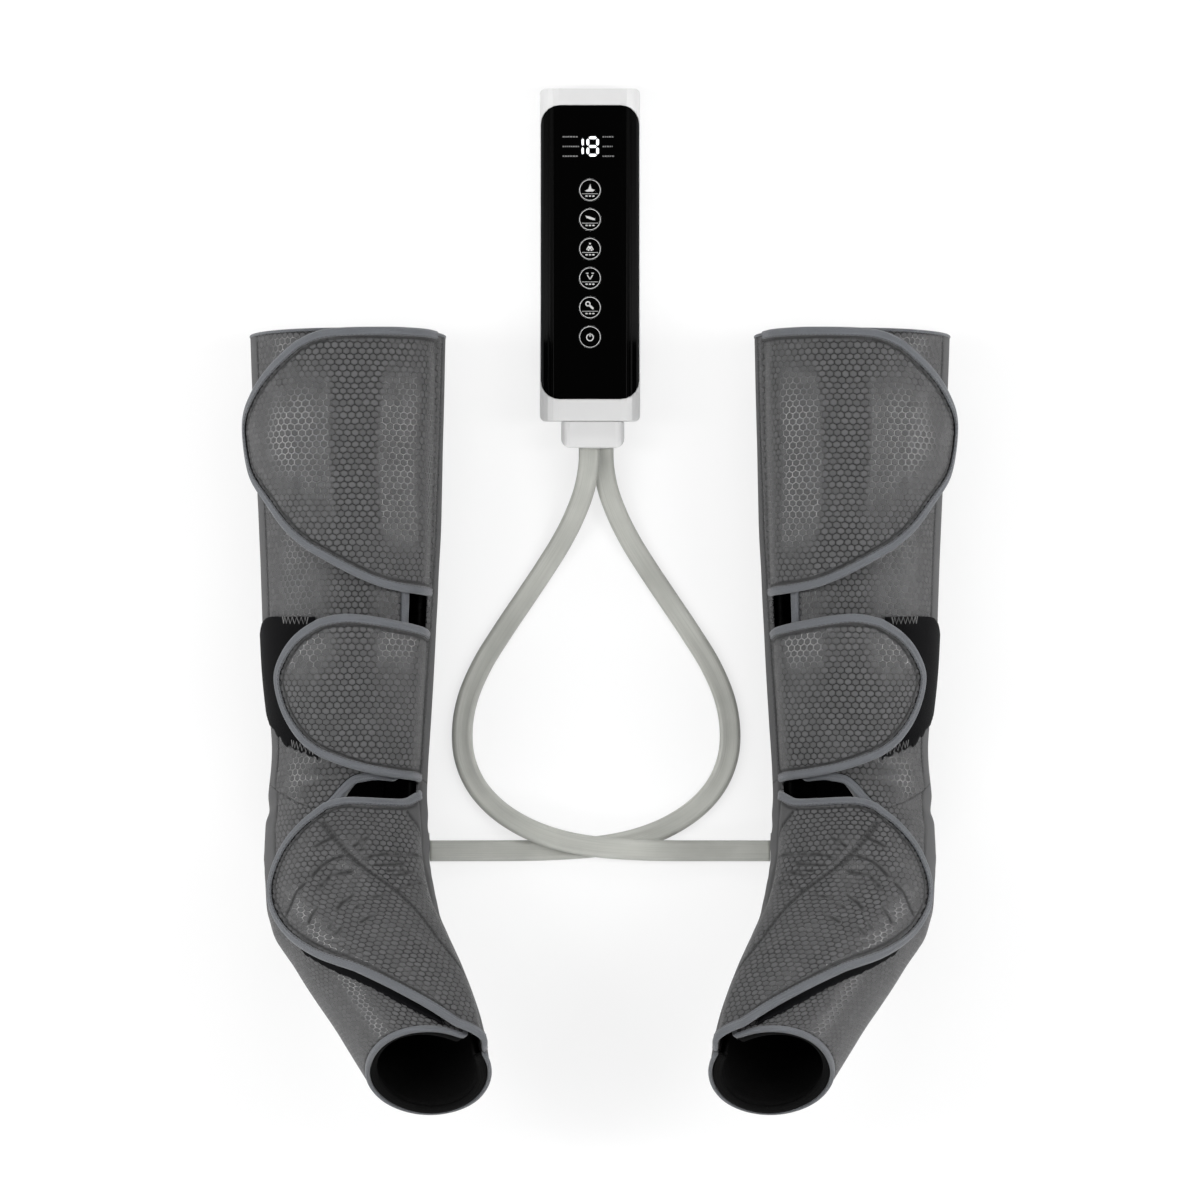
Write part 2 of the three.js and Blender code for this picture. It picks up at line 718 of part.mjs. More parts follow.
function frontHousing() {
  const recess = caseBody(panel_wall + fit_gap);
  const shell = caseBody(0).subtract(panelPrism(fit_gap).subtract(recess));
  const hollow = shell.subtract(caseBody(front_wall));
  const upper = hollow.intersect(splitBox(split_height + fit_gap, case_height));
  const [width, length] = [display_width - glue_ledge, display_length - glue_ledge];
  const window = solid(box(width, length, case_height, 0, display_y, split_height));
  const holes = keyHoles(key_stem_radius + fit_gap);
  return geometryOf(cutAll(upper, [...holes, window, socketHole(0, front_wall)]));
}

const board_middle_y = case_length / 2 - board_end_margin - board_length / 2;
const post_places = [-1, 1].flatMap((x) => [-1, 1].map((y) => [
  x * (board_width / 2 - post_inset),
  board_middle_y + y * (board_length / 2 - post_inset),
]));

// Pieces laid along the housing up from its socket: valve block, pump head, motor; the battery has the rest
const valve_y = -case_length / 2 + socket_length + outlet_room + valve_port_length + valve_length / 2;
const pump_y = valve_y + valve_length / 2 + inner_spacing / 4 + pump_port_length + pump_head_length;
const battery_end_y = pump_y + pump_length + inner_spacing;
const battery_length = case_length / 2 - 2 * board_end_margin - battery_end_y;

// Rear housing: a tray with an inner rim and four posts under the circuit board
function rearHousing() {
  const inset = front_wall;
  const tray = caseBody(0).subtract(caseBody(case_wall)).intersect(splitBox(0, split_height));
  const rim = caseBody(inset + fit_gap).subtract(caseBody(inset + fit_gap + rim_wall))
    .intersect(splitBox(split_height - rim_height, 2 * rim_height))
    .add(caseBody(case_wall).subtract(caseBody(inset + fit_gap + rim_wall))
      .intersect(splitBox(split_height - 2 * rim_height, rim_height + fit_gap)));
  const posts = post_places.map(([x, y]) => (
    solid(post(post_radius, board_z - fit_gap - case_wall / 2, x, y, case_wall / 2))
  ));
  const body = posts.reduce((sum, one) => sum.add(one), tray.add(rim));
  const holes = [socketHole(0, case_wall), socketHole(socket_wall, inset + rim_wall)];
  return geometryOf(cutAll(body, holes));
}

// Key: a cap in its hole in the panel, on a stem that reaches down to the switch on the board
function key() {
  const foot = board_z + board_wall + switch_height + fit_gap + key_travel;
  const under = case_height - key_cap;
  const outline = [
    [0, foot], [key_stem_radius, foot], [key_stem_radius, under], [key_radius, under],
    [key_radius, case_height - key_edge], [key_radius - key_edge, case_height], [0, case_height],
  ];
  const profile = outline.map(([x, y]) => new THREE.Vector2(x, y));
  return new THREE.LatheGeometry(profile, pin_sides).rotateX(quarter_turn);
}

// Display: a module under the panel, its lens standing in the window of the front housing
function display() {
  const lens_width = display_width - glue_ledge - 2 * fit_gap;
  const lens_length = display_length - glue_ledge - 2 * fit_gap;
  const top = front_floor;
  const base = board_z + board_wall + fit_gap;
  const shoulder = front_floor - case_wall - fit_gap;
  const lens = solid(box(lens_width, lens_length, top - base, 0, display_y, base));
  const module = solid(box(display_width, display_length, shoulder - base, 0, display_y, base));
  return geometryOf(lens.add(module));
}

function circuitBoard() {
  const switches = Array.from({ length: key_count }, (_, k) => (
    solid(box(key_stem_radius, key_stem_radius, switch_height + board_wall, 0, key_y(k), board_z))
  ));
  const board = solid(box(board_width, board_length, board_wall, 0, board_middle_y, board_z));
  return geometryOf(switches.reduce((sum, one) => sum.add(one), board));
}

const floor_z = case_wall + fit_gap;

// Battery pack: two cells side by side in one sleeve
function batteryPack() {
  const outline = roundedOutline(battery_width, battery_height, battery_round, battery_round);
  return along(outline, battery_end_y, battery_length)
    .translate(0, 0, floor_z + battery_height / 2);
}

// Air pump: a round motor with a square diaphragm head and one outlet
function airPump() {
  const z = floor_z + pump_head_height / 2;
  const head_y = pump_y - pump_head_length;
  const head = box(pump_head_width, pump_head_length, pump_head_height)
    .translate(0, head_y + pump_head_length / 2, floor_z);
  const motor = rod(pump_radius, pump_length + overrun, 0, pump_y - overrun, z);
  const port = rod(pump_port_radius, pump_port_length + overrun, 0, head_y - pump_port_length, z);
  return geometryOf(solid(head).add(solid(motor)).add(solid(port)));
}

// Valve block: a manifold with two upright coils, one inlet and an outlet for each air way
function valveBlock() {
  const top = floor_z + valve_height;
  const body = solid(box(valve_width, valve_length, valve_height, 0, valve_y, floor_z));
  const coil_places = [-valve_width / 4, valve_width / 4];
  const coils = coil_places.map((x) => (
    solid(post(valve_coil_radius, valve_coil_length + overrun, x, valve_y, top - overrun))
  ));
  const port_y = valve_y - valve_length / 2 - valve_port_length;
  const port_z = floor_z + valve_height / 2;
  const outlets = airWays().map((x) => (
    solid(rod(valve_port_radius, valve_port_length + overrun, x + plug_x - case_x, port_y, port_z))
  ));
  return geometryOf([...coils, ...outlets].reduce((sum, one) => sum.add(one), body));
}

const airWays = () => tongue_bore_shares.map((share) => share * tongue_width);

// Hose socket: a sleeve through the end of the housing, with a flange on the inside
function hoseSocket() {
  const shape = (width, height) => roundedOutline(width, height, tongue_round, tongue_round);
  const inside_y = -case_length / 2 + front_wall + fit_gap;
  const sleeve = solid(along(shape(socket_width, socket_height), -case_length / 2, socket_length));
  const rim = shape(socket_width + 2 * socket_wall, socket_height + 2 * socket_wall);
  const flange = solid(along(rim, inside_y, socket_wall));
  const mouth = shape(tongue_width + 2 * fit_gap, tongue_height + 2 * fit_gap);
  const bore = solid(along(mouth, -case_length / 2 - overrun, socket_length + 2 * overrun));
  return geometryOf(sleeve.add(flange).subtract(bore)).translate(plug_x - case_x, 0, plug_z);
}

function controller() {
  const group = new THREE.Group();
  const add = (name, geometry, finish, y = 0) => {
    const mesh = piece(name, geometry, finish);
    mesh.position.y = y;
    group.add(mesh);
  };
  add('front_housing', frontHousing(), 'case');
  add('rear_housing', rearHousing(), 'case');
  add('front_panel', frontPanel(), 'panel');
  add('display', display(), 'key');
  add('circuit_board', circuitBoard(), 'board');
  add('battery_pack', batteryPack(), 'cell');
  add('air_pump', airPump(), 'pump');
  add('valve_block', valveBlock(), 'valve');
  add('hose_socket', hoseSocket(), 'collar');
  for (let k = 0; k < key_count; k += 1) add(`key_${k + 1}`, key(), 'key', key_y(k));
  group.position.set(case_x, case_middle_y, 0);
  return group;
}

// Hose plug: a block with a tongue that pushes into the socket; air ways run through both
function hosePlug() {
  const plan = roundedOutline(plug_width, plug_length, plug_round, plug_edge);
  const end = roundedOutline(plug_width, plug_height, plug_round, plug_round);
  const block = solid(raised(plan, -plug_height / 2, plug_height))
    .intersect(solid(along(end, -plug_length / 2, plug_length)));
  const round = tongue_round - fit_gap;
  const outline = roundedOutline(tongue_width, tongue_height, round, round);
  const tongue = solid(along(outline, plug_length / 2 - overrun, tongue_length + overrun));
  const ways = airWays().map((x) => (
    solid(rod(tongue_bore, plug_length + tongue_length, x, -plug_length / 2 + plug_floor, 0))
  ));
  return geometryOf(cutAll(block.add(tongue), ways)).translate(plug_x, plug_top_y - plug_length / 2, plug_z);
}

// Hose centrelines: out of the plug, down to the surface, round the loop, over each other and on to the
// far boot. The first is the loop on the left, the second the loop on the right. Each place is
// [across, along, height] as shares: of the way to the inlet's mouth, of the way from the plug to the
// inlet, and of the hose's thickness.
const hose_start_y = plug_top_y - plug_length - fit_gap;
const hose_end_x = inlet_face_x - fit_gap;
const hose_route_shares = {
  left_loop_hose: [
    [-0.0634, 0, 3.8519], [-0.0662, 0.0412, 3.8148], [-0.0927, 0.1031, 3.3333], [-0.1514, 0.1699, 2.2593],
    [-0.2261, 0.2318, 1.2222], [-0.3207, 0.2962, 0.6667], [-0.438, 0.3705, 0.537], [-0.5724, 0.4548, 0.537],
    [-0.6954, 0.5392, 0.537], [-0.7796, 0.6235, 0.537], [-0.8098, 0.6978, 0.537], [-0.7975, 0.7686, 0.537],
    [-0.7323, 0.8357, 0.537], [-0.614, 0.8933, 0.8519], [-0.438, 0.9416, 1.5926], [-0.2384, 0.9728, 1.7593],
    [-0.0208, 0.99, 1.7593], [0.2308, 0.9976, 1.7593], [0.4068, 0.9996, 1.6296], [0.5676, 1, 1.1481],
    [0.719, 1, 1.037], [0.8609, 1, 1.3333], [1, 1, 1.4815],
  ],
  right_loop_hose: [
    [0.018, 0, 2.6667], [0.0208, 0.0412, 2.6296], [0.0473, 0.1031, 2.2593], [0.106, 0.1699, 1.5185],
    [0.1807, 0.2318, 0.8889], [0.2753, 0.2962, 0.5926], [0.3926, 0.3705, 0.537], [0.527, 0.4548, 0.537],
    [0.65, 0.5392, 0.537], [0.7342, 0.6235, 0.537], [0.7644, 0.6978, 0.537], [0.7521, 0.7686, 0.537],
    [0.6868, 0.8357, 0.537], [0.5686, 0.8933, 0.537], [0.3926, 0.9416, 0.537], [0.193, 0.9728, 0.537],
    [-0.0246, 0.99, 0.537], [-0.2763, 0.9976, 0.537], [-0.4522, 0.9996, 0.537], [-0.6131, 1, 0.5926],
    [-0.7379, 1, 0.8519], [-0.8704, 1, 1.2593], [-1, 1, 1.4815],
  ],
};

// Flat section of two bonded tubes; its first axis is the thickness
function hoseSection() {
  const radius = hose_thickness / 2;
  const reach = hose_width / 2 - radius;
  const half = [-1, 0, 1].map((share) => [
    radius * Math.sin(share * quarter_turn),
    reach + radius * Math.cos(share * quarter_turn),
  ]);
  const points = [...half, [hose_waist / 2, 0], ...half.map(([x, y]) => [-x, -y]), [-hose_waist / 2, 0]];
  return points.map(([x, y]) => new THREE.Vector2(x, y));
}

// The section is carried level along the route, so that the flat hose never twists
function hose(route) {
  const places = route.map(([across, along_way, height]) => new THREE.Vector3(
    across * hose_end_x,
    mix(hose_start_y, inlet_y, along_way),
    height * hose_thickness,
  ));
  const line = new THREE.CatmullRomCurve3(places, false, 'centripetal');
  const outline = hoseSection();
  const points = [];
  for (let k = 0; k <= hose_steps; k += 1) {
    const share = k / hose_steps;
    const middle = line.getPointAt(share);
    const way = line.getTangentAt(share);
    const side = new THREE.Vector3(-way.y, way.x, 0).normalize();
    const up = way.clone().cross(side).normalize();
    for (const corner of outline) {
      points.push(middle.clone().addScaledVector(up, corner.x).addScaledVector(side, corner.y));
    }
  }
  return ribbon(points, hose_steps + 1, outline.length, outlineCaps(outline.map(({ x, y }) => [x, y])));
}

const massager = new THREE.Group();
const right_boot = boot('right');
right_boot.scale.x = -1;
right_boot.position.x = boot_spacing / 2;
massager.add(boot('left'), right_boot, controller(), piece('hose_plug', hosePlug(), 'case'));
for (const [name, route] of Object.entries(hose_route_shares)) massager.add(piece(name, hose(route), 'hose'));

export default massager;
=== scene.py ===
"""Looks of an air compression leg massager, built round its packed frame: two wrap boots, a hand
controller and two flat air hoses. Lengths are metres."""

import math

import bmesh
import bpy
import numpy as np
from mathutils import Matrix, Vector
from mathutils.kdtree import KDTree


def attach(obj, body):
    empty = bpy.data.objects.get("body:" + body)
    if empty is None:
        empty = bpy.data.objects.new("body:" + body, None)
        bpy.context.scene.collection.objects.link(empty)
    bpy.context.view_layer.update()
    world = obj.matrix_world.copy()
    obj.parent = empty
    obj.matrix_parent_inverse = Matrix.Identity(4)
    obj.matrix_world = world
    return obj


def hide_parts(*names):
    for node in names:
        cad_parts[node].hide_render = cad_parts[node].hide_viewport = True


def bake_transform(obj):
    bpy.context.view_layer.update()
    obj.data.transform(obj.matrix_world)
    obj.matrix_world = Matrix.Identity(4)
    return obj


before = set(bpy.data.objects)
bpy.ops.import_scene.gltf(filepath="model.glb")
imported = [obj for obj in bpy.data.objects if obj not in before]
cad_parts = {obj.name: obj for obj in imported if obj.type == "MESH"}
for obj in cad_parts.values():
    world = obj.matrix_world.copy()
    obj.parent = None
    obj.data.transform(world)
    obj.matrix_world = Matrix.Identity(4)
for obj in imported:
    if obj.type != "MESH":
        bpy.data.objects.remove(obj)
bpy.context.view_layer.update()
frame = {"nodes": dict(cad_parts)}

bl_info = {
    "name": "Air compression leg massager",
    "version": (1, 0, 0),
    "blender": (4, 5, 0),
    "location": "3D View > Sidebar > Leg massager",
    "description": "Wrap boots, hand controller and air hoses with their finishes",
    "category": "Add Mesh",
}

HALF_TURN = math.pi
QUARTER_TURN = math.pi / 2
SIDES = (("left", 1), ("right", -1))
ROOT_BODY = "boots_and_hoses"

# The boot's leg surface, as the solids have it. Each station from the top hem to the toe gives its back's
# place along the boot and height, its front's place along the boot and height, its outer and inner side.
BOOT_LENGTH = 0.484
CALF_WIDTH = 0.122
CALF_DEPTH = 0.106
BOOT_X = -0.156
BOOT_TOP_Y = 0.167
STATIONS = np.array([
    [0.017, -0.057, 0.000, 0.965, -0.498, 0.498],
    [0.128, -0.057, 0.120, 0.988, -0.478, 0.491],
    [0.293, -0.057, 0.285, 0.958, -0.448, 0.470],
    [0.438, -0.057, 0.421, 0.905, -0.426, 0.443],
    [0.545, -0.057, 0.517, 0.840, -0.389, 0.416],
    [0.624, -0.047, 0.574, 0.821, -0.407, 0.402],
    [0.690, -0.038, 0.616, 0.896, -0.419, 0.416],
    [0.744, 0.057, 0.661, 1.028, -0.427, 0.432],
    [0.802, 0.302, 0.713, 1.170, -0.393, 0.488],
    [0.868, 0.594, 0.769, 1.368, -0.234, 0.594],
    [0.934, 0.896, 0.826, 1.585, -0.056, 0.686],
    [1.000, 1.198, 0.882, 1.783, 0.107, 0.737],
]) * [BOOT_LENGTH, CALF_DEPTH, BOOT_LENGTH, CALF_DEPTH, CALF_WIDTH, CALF_WIDTH]
SLIT = (0.44, 0.93)
HEM_SHARE = 0.0040
TOE_SHARE = 0.9915
ANKLE_GAP_SHARE = 0.540
# Where the calf ends and the foot starts, as [share round the wall, run down the leg]
SEAM_LINE = [[0, 0.430], [0.05, 0.431], [0.10, 0.443], [0.125, 0.468], [0.145, 0.498], [0.160, 0.518],
             [0.18, 0.525], [0.22, 0.503], [0.27, 0.470], [0.34, 0.434], [0.42, 0.430], [1, 0.430]]
SEAM_STEP_SHARE = 0.0012
# Shares round the wall where the gap before the ankle starts to close and is closed
GAP_SHARES = (0.130, 0.158)

# Layers of the wall, from the outside in, and what lies on it
SHELL_WALL = 0.0022
LAYER_GAP = 0.0009
BAG_WALL = 0.0024
LINING_WALL = 0.0016
BAG_TOP = -SHELL_WALL - LAYER_GAP
LINING_TOP = BAG_TOP - BAG_WALL - LAYER_GAP
WALL = LINING_WALL - LINING_TOP
# A flap's thickness, the height of its lower side, its height at the sewn edge, and the share of the
# flap over which it rises from there
FLAP_WALL = 0.0022
FLAP_LIFT = 0.0042
HINGE_LIFT = -0.0014
LIFT_SHARE = 0.20
HOOK_WALL = 0.0007
PATCH_WALL = 0.0008
# The dressed cloth lies a little lower than the solids, and lower still beside an edge that a tape covers.
CLOTH_SINK = 0.0004
EDGE_SINK = 0.0007
# Width and depth of a line of stitches that is drawn into the cloth
SEWN_WIDTH = 0.0010
SEWN_DEPTH = 0.0009
FLAP_SEAM_DEPTH = 0.0010
# From a flap's tape to the groove beside it, and the least thickness of a flap
TAPE_GROOVE = 0.0012
THINNEST_FLAP = 0.0009
# Distances from the line of its hinge between which the foot flap's cloth bends
FOOT_FOLD = (0.004, 0.026)
# Strip inside each flap's seam: its reach past the wall's edge and the sewn edge, in radians, and heights
SEAM_STRIP = (0.012, 0.035)
SEAM_STRIP_LOW = -0.0027
SEAM_STRIP_HIGH = -0.0019

# Closing flaps as [across, along] shares in the front view
FLAP_SHAPES = {
    "upper": {
        "top": [[0.893, 0.003], [0.42, 0.001], [-0.18, 0.004], [-0.46, 0.018]],
        "free": [[-0.46, 0.018], [-0.72, 0.050], [-0.89, 0.082], [-0.985, 0.123], [-0.955, 0.178],
                 [-0.80, 0.219], [-0.61, 0.255], [-0.41, 0.278]],
        "bottom": [[0.893, 0.338], [0.50, 0.330], [0.13, 0.315], [-0.41, 0.278]],
    },
    "middle": {
        "top": [[0.893, 0.387], [0.55, 0.374], [0.02, 0.364], [-0.30, 0.370]],
        "free": [[-0.30, 0.370], [-0.53, 0.389], [-0.69, 0.415], [-0.77, 0.444], [-0.72, 0.485],
                 [-0.55, 0.521], [-0.32, 0.541]],
        "bottom": [[0.893, 0.575], [0.45, 0.567], [0.05, 0.556], [-0.32, 0.541]],
    },
    "foot": {
        "top": [[0.893, 0.590], [0.78, 0.595], [0.64, 0.604], [0.40, 0.605], [0.0, 0.604],
                [-0.24, 0.611]],
        "free": [[-0.24, 0.611], [-0.50, 0.638], [-0.72, 0.674], [-0.84, 0.712], [-0.875, 0.745],
                 [-0.86, 0.773], [-0.76, 0.796], [-0.52, 0.8145]],
        "bottom": [[0.893, 0.911], [0.50, 0.893], [0.00, 0.857], [-0.52, 0.8145]],
    },
}
FASTENERS = {
    "upper": {"loops": (1.95, 2.60, 0.08, 0.20), "hooks": (2.10, 2.50, 0.12, 0.19)},
    "middle": {"loops": (1.95, 3.45, 0.366, 0.545), "hooks": (1.95, 2.25, 0.40, 0.52)},
    "foot": {"loops": (1.70, 2.15, 0.67, 0.76), "hooks": (1.78, 2.08, 0.68, 0.75)},
}
# Zigzag stitches on the middle loop patch, as [across, along] shares in the front view
PATCH_STITCHES = {
    "upper": [[-0.72, 0.370], [-0.44, 0.371]],
    "lower": [[-0.70, 0.527], [-0.42, 0.538]],
}
ZIGZAG_HEIGHT = 0.0022
# Upper and lower edges of the middle loop patch, as [angle, along share]
PATCH_UPPER = [[1.95, 0.366], [2.60, 0.366], [2.75, 0.368], [2.91, 0.3745], [3.05, 0.383],
               [3.45, 0.400]]
PATCH_LOWER = [[1.95, 0.5457], [2.27, 0.5355], [2.53, 0.5265], [2.81, 0.510], [3.10, 0.492],
               [3.45, 0.482]]
# Lines sewn into the flaps, soft folds and sharp creases in them, as [across, along] shares in the
# front view
FLAP_SEAMS = {
    "foot": [
        [[-0.236, 0.636], [0.049, 0.681], [0.34, 0.718], [0.476, 0.746], [0.578, 0.787],
         [0.701, 0.818], [0.840, 0.846]],
        [[0.662, 0.620], [0.749, 0.637], [0.830, 0.656], [0.870, 0.689]],
    ],
}
FLAP_FOLDS = {
    "upper": [
        [[-0.62, 0.075], [-0.50, 0.150], [-0.52, 0.215]],
        [[0.34, 0.030], [0.28, 0.150], [0.33, 0.290]],
        [[-0.12, 0.040], [-0.16, 0.150], [-0.10, 0.250]],
    ],
    "middle": [
        [[0.30, 0.395], [0.25, 0.470], [0.30, 0.540]],
        [[-0.42, 0.410], [-0.30, 0.460], [-0.40, 0.515]],
    ],
    "foot": [
        [[0.10, 0.760], [0.42, 0.800]],
        [[-0.62, 0.672], [-0.38, 0.690], [-0.12, 0.688]],
    ],
}
# Edge of the plain corner of the foot flap, as [along, across]
PLAIN_CORNER = [[0.58, 0.55], [0.620, 0.665], [0.648, 0.78], [0.683, 0.88], [0.70, 1.0]]
FLAP_CREASES = {
    "foot": [
        [[0.179, 0.680], [0.418, 0.676], [0.842, 0.678]],
        [[0.262, 0.690], [0.515, 0.6885], [0.664, 0.6895]],
        [[0.375, 0.698], [0.529, 0.696]],
        [[0.418, 0.704], [0.676, 0.698], [0.870, 0.696]],
        [[0.411, 0.723], [0.597, 0.715], [0.840, 0.716]],
        [[-0.395, 0.7026], [-0.196, 0.684], [-0.046, 0.678]],
        [[-0.40, 0.721], [-0.204, 0.703], [0.002, 0.698]],
        [[-0.526, 0.7665], [-0.302, 0.743], [-0.081, 0.7275]],
        [[-0.113, 0.743], [0.07, 0.734], [0.236, 0.7275]],
        [[-0.76, 0.743], [-0.578, 0.721], [-0.498, 0.712]],
        [[0.084, 0.665], [0.21, 0.656]],
        [[0.136, 0.670], [0.277, 0.662]],
        [[-0.507, 0.774], [-0.329, 0.763]],
        [[-0.66, 0.758], [-0.50, 0.741]],
        [[-0.18, 0.762], [0.02, 0.752]],
        [[-0.30, 0.664], [-0.14, 0.655]],
    ],
}
# Seams down the wall as [run, angle], beyond which its cloth is plain; the inner one is a turn further
OUTER_SEAMS = {
    "calf": [[0, 2.76], [0.55, 2.70]],
    "foot": [[0.40, 2.66], [0.62, 2.61], [0.66, 2.75], [0.72, 3.30], [1, 3.50]],
}
INNER_SEAM = [[0, 0.22], [0.30, 0.38], [0.43, 0.40], [1, 0.40]]
# Runs down the calf between which its seams show stitches
SEAM_STITCH_RUNS = (0.012, 0.418)
# Black strip that shows along the foot flap's lower edge, as [across, along, share of the length it reaches
# on]
FLAP_EDGE_BLACK = [[0.25, 0.877, 0.004], [0.00, 0.857, 0.0105], [-0.30, 0.836, 0.0135],
               [-0.56, 0.814, 0.0150], [-0.76, 0.798, 0.0155], [-0.90, 0.783, 0.0110]]
# Width of the toe's tape as [angle, metres]
TOE_TAPE = [[0.9, 0.0036], [1.6, 0.0040], [2.9, 0.0038], [3.5, 0.0016], [4.3, 0.0009],
            [5.0, 0.0014], [5.6, 0.0026], [6.8, 0.0030]]
# Width of the black edge under the toe's tape
TOE_EDGE_WIDTH = 0.0028
# Air bags as shares round the wall and down it, and what they lie in
BLADDERS = {
    "upper_calf": (2 / 18, 16 / 18, 1 / 8, 4 / 8, "calf"),
    "lower_calf": (2 / 18, 16 / 18, 5 / 8, 7 / 8, "calf"),
    "foot": (3 / 18, 15 / 18, 1 / 7, 5 / 7, "foot"),
}
# Cells side by side in a bag, and the thickness of its weld and of its cells as shares of its wall
BAG_CELLS = 4
BAG_SHARES = (0.35, 0.98)

# Centrelines of the two hoses, which mirror each other, out of the plug, down to the surface, round the
# loop and on to the far boot, as [middle between them, reach to each, y, left height, right height]
HOSE_ROUTE = np.array([
    [-0.0024, 0.0043, 0.0943, 0.0208, 0.0144], [-0.0024, 0.0046, 0.0840, 0.0206, 0.0142],
    [-0.0024, 0.0074, 0.0685, 0.0180, 0.0122], [-0.0024, 0.0136, 0.0518, 0.0122, 0.0082],
    [-0.0024, 0.0215, 0.0363, 0.0066, 0.0048], [-0.0024, 0.0315, 0.0202, 0.0036, 0.0032],
    [-0.0024, 0.0439, 0.0016, 0.0029, 0.0029], [-0.0024, 0.0581, -0.0195, 0.0029, 0.0029],
    [-0.0024, 0.0711, -0.0406, 0.0029, 0.0029], [-0.0024, 0.0800, -0.0617, 0.0029, 0.0029],
    [-0.0024, 0.0832, -0.0803, 0.0029, 0.0029], [-0.0024, 0.0819, -0.0980, 0.0029, 0.0029],
    [-0.0024, 0.0750, -0.1148, 0.0029, 0.0029], [-0.0024, 0.0625, -0.1292, 0.0046, 0.0029],
    [-0.0024, 0.0439, -0.1413, 0.0086, 0.0029], [-0.0024, 0.0228, -0.1491, 0.0095, 0.0029],
    [-0.0024, -0.0002, -0.1534, 0.0095, 0.0029], [-0.0024, -0.0268, -0.1553, 0.0095, 0.0029],
    [-0.0024, -0.0454, -0.1558, 0.0088, 0.0029], [-0.0024, -0.0624, -0.1559, 0.0062, 0.0032],
    [-0.0010, -0.0770, -0.1559, 0.0056, 0.0046], [-0.0005, -0.0915, -0.1559, 0.0072, 0.0068],
    [0.0000, -0.1057, -0.1559, 0.0080, 0.0080],
])


# Sizes and colours

def length_setting(name, default, description):
    return bpy.props.FloatProperty(
        name=name, default=default, description=description, unit="LENGTH", precision=5)


def colour_setting(name, default, description):
    return bpy.props.FloatVectorProperty(
        name=name, default=default, description=description, subtype="COLOR", size=3, min=0, max=1)


class MassagerBootSettings(bpy.types.PropertyGroup):
    """Sizes of the boots' padding, tapes and stitching"""
    honeycomb_pitch: length_setting("Honeycomb pitch", 0.0041, "Between neighbouring cells of the cloth")
    honeycomb_depth: length_setting("Honeycomb depth", 0.0005, "Height of the net over its cells")
    pad_height: length_setting("Flap padding", 0.0024, "Extra thickness in the middle of a flap")
    pad_reach: length_setting("Padding reach", 0.026, "From the tape to the full padding")
    crease_depth: length_setting("Crease depth", 0.0007, "Height of the soft creases in the cloth")
    tape_width: length_setting("Tape width", 0.0053, "Edge tape seen from outside")
    hem_width: length_setting("Hem width", 0.0020, "Edge tape of the top hem")
    flap_tape: length_setting("Flap tape width", 0.0040, "Edge tape on a flap")
    stitch_pitch: length_setting("Stitch pitch", 0.0027, "Between neighbouring stitches")
    stitch_length: length_setting("Stitch length", 0.0018, "Length of one stitch")
    stitch_width: length_setting("Stitch width", 0.00055, "Thickness of the thread")


class MassagerControllerSettings(bpy.types.PropertyGroup):
    """Sizes of the controller's looks"""
    figure_height: length_setting("Figure height", 0.01075, "Height of a display figure")
    ring_radius: length_setting("Key ring radius", 0.0064, "Middle of the ring printed on a key")
    ring_width: length_setting("Key ring width", 0.00040, "Width of the ring printed on a key")
    print_lift: length_setting("Print thickness", 0.00006, "How far print stands over its surface")


class MassagerHoseSettings(bpy.types.PropertyGroup):
    """Section of a hose: two tubes bonded side by side"""
    width: length_setting("Hose width", 0.013, "Across both tubes")
    thickness: length_setting("Hose thickness", 0.0054, "Of one tube")
    waist: length_setting("Waist", 0.0044, "Thickness between the tubes")


class MassagerColourSettings(bpy.types.PropertyGroup):
    """Colours of the finishes"""
    cloth: colour_setting("Cloth", (0.080, 0.080, 0.082), "Discs of the padded cloth")
    net: colour_setting("Net", (0.014, 0.014, 0.015), "Glossy raised net of the cloth")
    tape: colour_setting("Tape", (0.165, 0.175, 0.192), "Woven edge tape")
    # The stitching's dark tone is partly its own colour and partly painted shade, for the dashed shadow in
    # the groove beside each tape.
    thread: colour_setting("Thread", (0.055, 0.055, 0.058), "Stitching")
    lining: colour_setting("Lining", (0.0035, 0.0035, 0.0035), "Black inner cloth")
    loops: colour_setting("Loop cloth", (0.004, 0.004, 0.0045), "Black satin loop patches")
    film: colour_setting("Film", (0.30, 0.32, 0.34), "Welded film of the air bags")
    hose: colour_setting("Hose", (0.41, 0.415, 0.385), "Satin bonded tubing")
    housing: colour_setting("Housing", (0.57, 0.57, 0.57), "White moulding")
    panel: colour_setting("Panel", (0.0006, 0.0006, 0.0006), "Gloss black front")
    figures: colour_setting("Figures", (0.82, 0.84, 0.86), "Display figures")
    signs: colour_setting("Signs", (0.47, 0.47, 0.47), "Rings and signs on the keys")


class MassagerStageSettings(bpy.types.PropertyGroup):
    """Camera and floor"""
    view_width: length_setting("View width", 0.744, "Width of the photograph at the surface")
    lens: bpy.props.FloatProperty(name="Lens", default=420.0, description="Focal length", unit="CAMERA")
    floor_size: length_setting("Floor size", 40.0, "Side of the floor")


SETTING_GROUPS = {
    "massager_boot": MassagerBootSettings,
    "massager_controller": MassagerControllerSettings,
    "massager_hose": MassagerHoseSettings,
    "massager_colour": MassagerColourSettings,
    "massager_stage": MassagerStageSettings,
}


def boot_settings():
    return bpy.context.scene.massager_boot


def colours():
    return bpy.context.scene.massager_colour


# Shape of the leg

def smooth(value, start, end):
    share = np.clip((value - start) / (end - start), 0, 1)
    return share * share * (3 - 2 * share)


def mix(a, b, share):
    return a + (b - a) * share


def ridge(away, width):
    """1 on a line and 0 beyond a width from it."""
    return np.exp(-(away / width) ** 2)


def unit(vectors):
    return vectors / np.linalg.norm(vectors, axis=-1, keepdims=True)


def walked(points):
    """Distance of each point of a line from its start."""
    return np.concatenate([[0], np.cumsum(np.linalg.norm(np.diff(points, axis=0), axis=1))])


